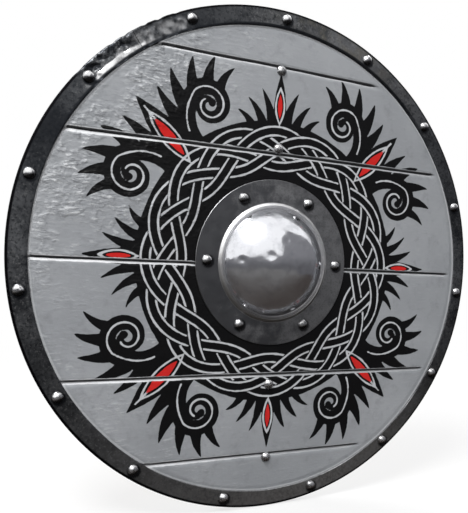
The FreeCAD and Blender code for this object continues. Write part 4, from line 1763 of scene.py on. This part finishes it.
def make_boss():
    """The turned section, less the depth of the dents along the line to the middle of the sphere."""
    outside_line, inside_line = boss_outside_line(), boss_inside_line()
    section = np.vstack([outside_line, inside_line])
    points = turned_points(section, boss_steps)
    x, z = points[..., 0], points[..., 2]
    outward = points - np.array([0, dome_centre, 0])
    outward /= np.linalg.norm(outward, axis=-1, keepdims=True)
    dented_points = points - outward * dome_dents(x, z)[..., None]
    faces = grid_faces(boss_steps, len(section), close_rows=True)
    inside = faces[:, 0] % len(section) >= len(outside_line)
    finishes, fields = [boss_steel, boss_inside], {"rivet_dirt_and_shadow": dirt_and_shadow_by_rivets(x, z, boss_places)}
    make_piece("boss_steel_cap", "boss", dented_points, faces, finishes, inside, fields)


make_boss()

# %% [markdown]
# ## Rivets and washers
# The rivets are brighter than the rim, with painted shade and dirt round their foot and painted shade
# down their lower right side. The washers behind are duller. One recipe does for both.

# %% Finish of the small steel
rivet_bright, rivet_dull, rivet_roughness = (0.93, 0.93, 0.94, 1.0), (0.50, 0.50, 0.51, 1.0), 0.16
washer_bright, washer_roughness = grey(0.42), 0.35
dull_cloud, dull_range, dull_relief = (160.0, 3.0), (0.35, 0.7), 0.25 * mm
scratch_cloud, scratch_roughness = (900.0, 3.0), 0.14


def make_small_steel(name, bright, dull, roughness):
    """Bright steel with dull patches, and painted shade and dirt where the mesh says so."""
    material, tree, shader = new_finish(name)
    place = place_on_object(tree)
    patches = cloud(tree, place, *dull_cloud)
    scratches = cloud(tree, place, *scratch_cloud)
    colour = layered(tree, bright, [
        (remap(tree, patches, *dull_range), dull),
        # painted shade and dirt round the foot and down the lower right side of each rivet head
        (field(tree, "foot"), painted_shade_and_dirt),
    ])
    plug(tree, colour, shader["Base Color"])
    shader["Metallic"].default_value = 1.0
    gloss = remap(tree, scratches, *most_of_a_cloud, roughness, roughness + scratch_roughness)
    plug(tree, gloss, shader["Roughness"])
    plug(tree, bump(tree, patches, dull_relief), shader["Normal"])
    return counted(material)


rivet_steel = make_small_steel("rivet_steel", rivet_bright, rivet_dull, rivet_roughness)
washer_steel = make_small_steel("washer_steel", washer_bright, rivet_dull, washer_roughness)

# %% [markdown]
# A rivet is a turned shape too: a domed head, a shank and a hammered tail. Both domes are caps of spheres.

# %% The rivet's section
rivet_head_height = 4.6 * mm
rivet_tail_radius, rivet_tail_height = 4.2 * mm, 1.8 * mm
rivet_shank_radius = 2.4 * mm
rivet_steps = 40


def rivet_section(head_seat, tail_seat):
    """From the top of the head round its edge to the shank, and on to the top of the tail."""
    head = cap_sphere(rivet_head_radius, rivet_head_height)
    head_centre = head_seat - rivet_head_height + head
    head_deg = math.degrees(math.atan2(rivet_head_radius, head_centre - head_seat))
    tail = cap_sphere(rivet_tail_radius, rivet_tail_height)
    tail_centre = tail_seat + rivet_tail_height - tail
    tail_deg = math.degrees(math.atan2(rivet_tail_radius, tail_seat - tail_centre))
    return np.vstack([
        arc((0, head_centre), head, -90, head_deg - 90, count=16),
        line((rivet_shank_radius, head_seat), (rivet_shank_radius, tail_seat), count=2),
        arc((0, tail_centre), tail, 90 - tail_deg, 90, count=10),
    ])


print("a rivet's section has", len(rivet_section(rim_front, rim_back)), "points")

# %% [markdown]
# No two heads are hammered alike, so each gets its own lean and bumps. The generator has a fixed start, so
# that every run gives the same shield.

# %% Hammered heads
rivet_random = np.random.default_rng(7)
most_lean = 0.09
seed_from, seed_to = 100, 900
head_swell, head_swell_size = 0.05, 3.5 * mm
head_dip, head_dip_size = 0.06, 3 * mm


def hammered(points, x, z, seat):
    """Leans and swells a head a little, and takes noise off its height: the lean is a share of the height."""
    lean = rivet_random.uniform(-most_lean, most_lean, 2)
    seed = rivet_random.integers(seed_from, seed_to)
    height = np.maximum(seat - points[..., 1], 0)
    from_x, from_z = points[..., 0] - x, points[..., 2] - z
    swell = np.where(height > 0, 1 + head_swell * uneven_over(from_x, from_z, head_swell_size, seed), 1)
    from_x, from_z = from_x * swell + height * lean[0], from_z * swell + height * lean[1]
    dip = head_dip * height * (1 + uneven_over(from_x, from_z, head_dip_size, seed + 1))
    return np.stack([x + from_x, points[..., 1] + dip, z + from_z], axis=-1)


print("a head leans by up to", round(math.degrees(math.atan(most_lean)), 1), "degrees each way")

# %% [markdown]
# Rivets that share a job are one piece: fifteen in the rim, six in the boss and four in the grip bar. The
# bar's rivets get less painted shade and dirt.

# %% Rivets
# Painted shade and dirt at the foot of each head, and painted shade down its lower right side.
foot_dirt_and_shade_height, foot_dirt_and_shade_rise, foot_dirt_and_shade_share = 2.9 * mm, 0.7, 0.35
shade_side_from, shade_side_width = -0.12, 0.50
towards_shade_x, towards_shade_z = 0.30, -0.95
shade_side_share, bar_shade_side_share = 0.96, 0.60


def shaded_side(points, x, z):
    """Painted shade: 0 on a head's upper left and 1 on its lower right: how far down that way, over the radius.
    """
    down = towards_shade_x * (points[..., 0] - x) + towards_shade_z * (points[..., 2] - z)
    return rise(down / rivet_head_radius, shade_side_from, shade_side_width)


def repeated(faces, points_in_one, count):
    """The same faces for each of several equal pieces, whose points follow one another in one list."""
    return np.vstack([faces + k * points_in_one for k in range(count)])


def make_rivets(node, places, head_seat, tail_seat, rivet_shade_share):
    """Turned and hammered rivets, with painted shade and dirt that climbs up the head from its foot, and
    painted shade along its lower right side.
    """
    section = rivet_section(head_seat, tail_seat)
    every = [hammered(turned_points(section, rivet_steps, place), *place, head_seat) for place in places]
    below = np.concatenate([shaded_side(points, *place).ravel() for points, place in zip(every, places)])
    faces = grid_faces(rivet_steps, len(section), close_rows=True)
    faces = repeated(faces, rivet_steps * len(section), len(places))
    points = np.concatenate([points.reshape(-1, 3) for points in every])
    # painted shade and dirt climbing from the foot, and painted shade on the lower right side
    foot = foot_dirt_and_shade_share * rise(points[:, 1], head_seat - foot_dirt_and_shade_height, foot_dirt_and_shade_rise * foot_dirt_and_shade_height)
    foot = np.maximum(foot, below) * (points[:, 1] < head_seat + rivet_head_height)
    fields = {"foot": rivet_shade_share * foot}
    make_piece(node + "_steel", node, points, faces, [rivet_steel], fields=fields)


washer_thickness = 1.2 * mm
bar_thickness = 9.0 * mm
bar_back = board_back + bar_thickness
make_rivets("rim_rivets", rim_places, rim_front, rim_back, shade_side_share)
make_rivets("boss_rivets", boss_places, flange_front, board_back + washer_thickness, shade_side_share)
make_rivets("bar_rivets", bar_places, board_front, bar_back + washer_thickness, bar_shade_side_share)

# %% [markdown]
# Soft wood would give way under the tails, so they bear on round washers. A small section carried round
# each rivet gives a washer softened edges.

# %% Washers
washer_hole, washer_radius, washer_edge = 2.55 * mm, 7.5 * mm, 0.2 * mm


def make_washers(node, places, seat):
    """A flat ring: a closed section of six points, turned round every one of the places."""
    top = seat + washer_thickness
    section = np.array([
        (washer_hole, seat), (washer_radius, seat), (washer_radius, top - washer_edge),
        (washer_radius - washer_edge, top), (washer_hole + washer_edge, top), (washer_hole, top - washer_edge),
    ])
    points = np.concatenate([turned_points(section, rivet_steps, place).reshape(-1, 3) for place in places])
    faces = grid_faces(rivet_steps, len(section), close_rows=True, close_columns=True)
    faces = repeated(faces, rivet_steps * len(section), len(places))
    make_piece(node + "_steel", node, points, faces, [washer_steel])


make_washers("boss_washers", boss_places, board_back)
make_washers("bar_washers", bar_places, bar_back)

# %% [markdown]
# ## The hand grip
# A bar crosses all the planks behind the board. It is darker than the planks and smoother from the hand.
# The recipe of the bare wood serves, drawn out along Z.

# %% Finish of the grip bar
grip_wood_pale, grip_wood_dark = (0.27, 0.15, 0.070, 1.0), (0.11, 0.055, 0.024, 1.0)
grip_grain, grip_roughness = (1.0, 1.0, 0.07), 0.42
grip_wood = make_wood("grip_wood", grip_wood_pale, grip_wood_dark, grip_grain, grip_roughness)

# %% [markdown]
# The bar is flat along its arms and swells into a round grip over the hand hole. A box joined to a cylinder
# would leave a step. A superellipse goes smoothly from one to the other: a low power gives a round section,
# and a high one a box with small corners.

# %% Sizes along the bar
arm_width, grip_width, grip_thickness = 27.0 * mm, 31.0 * mm, 23.0 * mm
arm_squareness, grip_squareness = 9.0, 2.7
grip_half_length, swell_length = 50.0 * mm, 44.0 * mm
end_corner, end_taper_length, end_thickness = 9.0 * mm, 11.0 * mm, 5.5 * mm


def rounded_box_point(angle, half_width, half_thickness, squareness):
    """Superellipse: the cosine and the sine, each to the power of two over the squareness, keep their signs."""
    c, s = np.cos(angle), np.sin(angle)
    power = 2 / squareness
    return half_width * np.sign(c) * np.abs(c) ** power, half_thickness * np.sign(s) * np.abs(s) ** power


def bar_sizes(station):
    """Half a cosine wave takes the arm's size to the grip's. Quarter circles round the ends."""
    from_end = bar_reach - np.abs(station)
    share = np.clip((np.abs(station) - grip_half_length) / swell_length, 0, 1)
    swell = (1 + np.cos(math.pi * share)) / 2
    width = arm_width + (grip_width - arm_width) * swell
    short = np.clip(end_corner - from_end, 0, end_corner)
    width = width - 2 * (end_corner - np.sqrt(end_corner ** 2 - short ** 2))
    thickness = bar_thickness + (grip_thickness - bar_thickness) * swell
    tapered = end_thickness + (bar_thickness - end_thickness) * from_end / end_taper_length
    thickness = np.where(from_end < end_taper_length, tapered, thickness)
    return width, thickness, arm_squareness + (grip_squareness - arm_squareness) * swell


print("bar widths at 0, 80 and 200 mm:", (bar_sizes(np.array([0.0, 80.0, 200.0]) * mm)[0] / mm).round(1))

# %% [markdown]
# The bar's surface is this box carried along Z. Hands and blades left it a little uneven on the back.

# %% The grip bar
bar_ring = 56
bar_stations, bar_end_stations = 261, 9
bar_wear, bar_wear_size, bar_wear_turns = 0.12 * mm, 24 * mm, 2.0


def bar_stations_along():
    """Even steps from end to end, and close ones where the ends taper: one less the cosine of even angles."""
    close = end_taper_length * (1 - np.cos(np.linspace(0, math.pi / 2, bar_end_stations)))
    ends = bar_reach - close
    return np.unique(np.concatenate([np.linspace(-bar_reach, bar_reach, bar_stations), ends, -ends]))


def make_grip_bar():
    """Stations along Z and angles round the section. At either end all points of a ring meet in its middle."""
    station = bar_stations_along()
    width, thickness, squareness = (size[:, None] for size in bar_sizes(station))
    angle = np.linspace(0, full_turn, bar_ring, endpoint=False)[None, :]
    across, deep = rounded_box_point(angle, width / 2, thickness / 2, squareness)
    y = board_back + thickness / 2 + deep
    z = np.repeat(station[:, None], bar_ring, axis=1)
    worn = bar_wear * uneven(z / bar_wear_size, bar_wear_turns * angle * np.ones(z.shape), 41)
    worn = np.maximum(worn * rise(y, board_back, mm), 0)
    points = np.stack([across, y - worn, z], axis=-1)
    tips = np.repeat(points[[0, -1]].mean(axis=1, keepdims=True), bar_ring, axis=1)
    points = np.vstack([tips[:1], points, tips[1:]])
    faces = grid_faces(len(points), bar_ring, close_columns=True)
    fields = {"arris": np.full(points.shape[:2], far_from_seam / mm)}
    make_piece("grip_bar_wood", "grip_bar", points, faces, [grip_wood], fields=fields)


make_grip_bar()

# %% [markdown]
# A sleeve of brown leather is drawn tight round the grip, and sewn along its length with waxed thread. Its
# pebbled grain is cells whose borders lie low, which is what a Voronoi pattern gives.

# %% Finish of the leather
leather_brown = (0.055, 0.026, 0.014, 1.0)
leather_worn = (0.115, 0.060, 0.033, 1.0)
thread_pale = (0.46, 0.38, 0.25, 1.0)
hide_cloud, hide_range, hide_gloss = (45.0, 3.0), (0.35, 0.7), (*most_of_a_cloud, 0.55, 0.40)
pebble_scale, pebble_range, pebble_relief = 650.0, (0.0, 0.25), 0.12 * mm
seam_dirt, thread_range = 0.7, (0.4, 0.7)


def make_leather():
    """Brown hide, paler where hands rub it, dark in the seam, and pale thread where the mesh has stitches."""
    material, tree, shader = new_finish("grip_leather")
    place = place_on_object(tree)
    patches = cloud(tree, place, *hide_cloud)
    pebbles = add(tree, "TexVoronoi", {"Vector": place, "Scale": pebble_scale}, feature="DISTANCE_TO_EDGE")[0]
    colour = layered(tree, leather_brown, [
        (remap(tree, patches, *hide_range), leather_worn),
        (times(tree, field(tree, "groove"), seam_dirt), wood_grime),
        (remap(tree, field(tree, "thread"), *thread_range), thread_pale),
    ])
    plug(tree, colour, shader["Base Color"])
    plug(tree, remap(tree, patches, *hide_gloss), shader["Roughness"])
    plug(tree, bump(tree, remap(tree, pebbles, *pebble_range), pebble_relief), shader["Normal"])
    return counted(material)


grip_leather = make_leather()

# %% [markdown]
# The sleeve is a tube with thickness: its section runs along the outside, over a rounded end, back inside
# and over the other end. The seam, the creases and the stitches are moved points on its skin, because light
# grazes them there.

# %% The tube of the sleeve
sleeve_clearance = 0.15 * mm
sleeve_ring, sleeve_rows, sleeve_end_rows = 220, 130, 7
sleeve_half_length = wrap_high.z
sleeve_half_width, sleeve_half_depth = wrap_high.x, (wrap_high.y - wrap_low.y) / 2
sleeve_middle = (wrap_high.y + wrap_low.y) / 2
leather_thickness = sleeve_half_width - grip_width / 2 - sleeve_clearance


def sleeve_path():
    """Places along Z, and depths under the skin: half circles of half the thickness go over both ends."""
    half = leather_thickness / 2
    lip = np.linspace(0, math.pi, sleeve_end_rows + 2)[1:-1]
    along = np.linspace(-sleeve_half_length + half, sleeve_half_length - half, sleeve_rows)
    bulge = half * np.sin(lip)
    station = np.concatenate([along, along[-1] + bulge, along[::-1], along[0] - bulge])
    downwards = half * (1 - np.cos(lip))
    depth = np.concatenate([
        np.zeros(sleeve_rows), downwards,
        np.full(sleeve_rows, leather_thickness), leather_thickness - downwards,
    ])
    return station[:, None], depth[:, None]


print("the leather is", round(leather_thickness / mm, 2), "mm thick")

# %% [markdown]
# Stitches are a wave along a slanted line beside the seam, and creases are noise drawn out round the grip.

# %% The leather sleeve
seam_angle_deg = 62.0
seam_groove_width, seam_groove_depth = 0.6 * mm, 0.55 * mm
stitch_length, stitch_slant = 7.0 * mm, 9.0 * mm
stitch_reach, stitch_width, stitch_height = 1.4, 1.7 * mm, 0.45 * mm
stitch_level, stitch_swing = 0.5, 1.5
crease_length, crease_turns, crease_lean, crease_depth = 5.5 * mm, 3.0, 14 * mm, 0.28 * mm
skin_sunk, skin_least = 0.5 * mm, 0.02 * mm


def stitches(z, from_seam):
    """A cosine wave along a slanted line, cut off by a smooth step, and only close to the seam."""
    beat = np.cos(full_turn * (z / stitch_length + from_seam / stitch_slant))
    close = smooth_step(stitch_reach - np.abs(from_seam) / stitch_width)
    return close * smooth_step(stitch_level + stitch_swing * beat)


def make_sleeve():
    """A rounded box, smaller by the depth of the path and by what seam, creases and stitches take off."""
    station, depth = sleeve_path()
    z = np.repeat(station, sleeve_ring, axis=1)
    angle = np.linspace(0, full_turn, sleeve_ring, endpoint=False)[None, :] * np.ones(z.shape)
    outer_skin = rise(depth, leather_thickness / 2, -leather_thickness / 2)
    from_seam = (angle - math.radians(seam_angle_deg)) * sleeve_half_width
    groove = np.exp(-(from_seam / seam_groove_width) ** 2)
    thread = outer_skin * stitches(z, from_seam)
    crease = np.maximum(uneven(z / crease_length, angle * crease_turns + z / crease_lean, 51), 0)
    sunk = outer_skin * (seam_groove_depth * groove + crease_depth * crease + skin_sunk)
    sunk = sunk - stitch_height * thread
    inset = depth + np.maximum(sunk, skin_least * outer_skin)
    across, deep = rounded_box_point(
        angle, sleeve_half_width - inset, sleeve_half_depth - inset, grip_squareness
    )
    points = np.stack([across, deep + sleeve_middle, z], axis=-1)
    faces = grid_faces(len(station), sleeve_ring, close_rows=True, close_columns=True)
    fields = {"thread": thread, "groove": outer_skin * groove}
    make_piece(
        "grip_sleeve_leather", "grip_wrap", points, faces, [grip_leather], fields=fields
    )


make_sleeve()
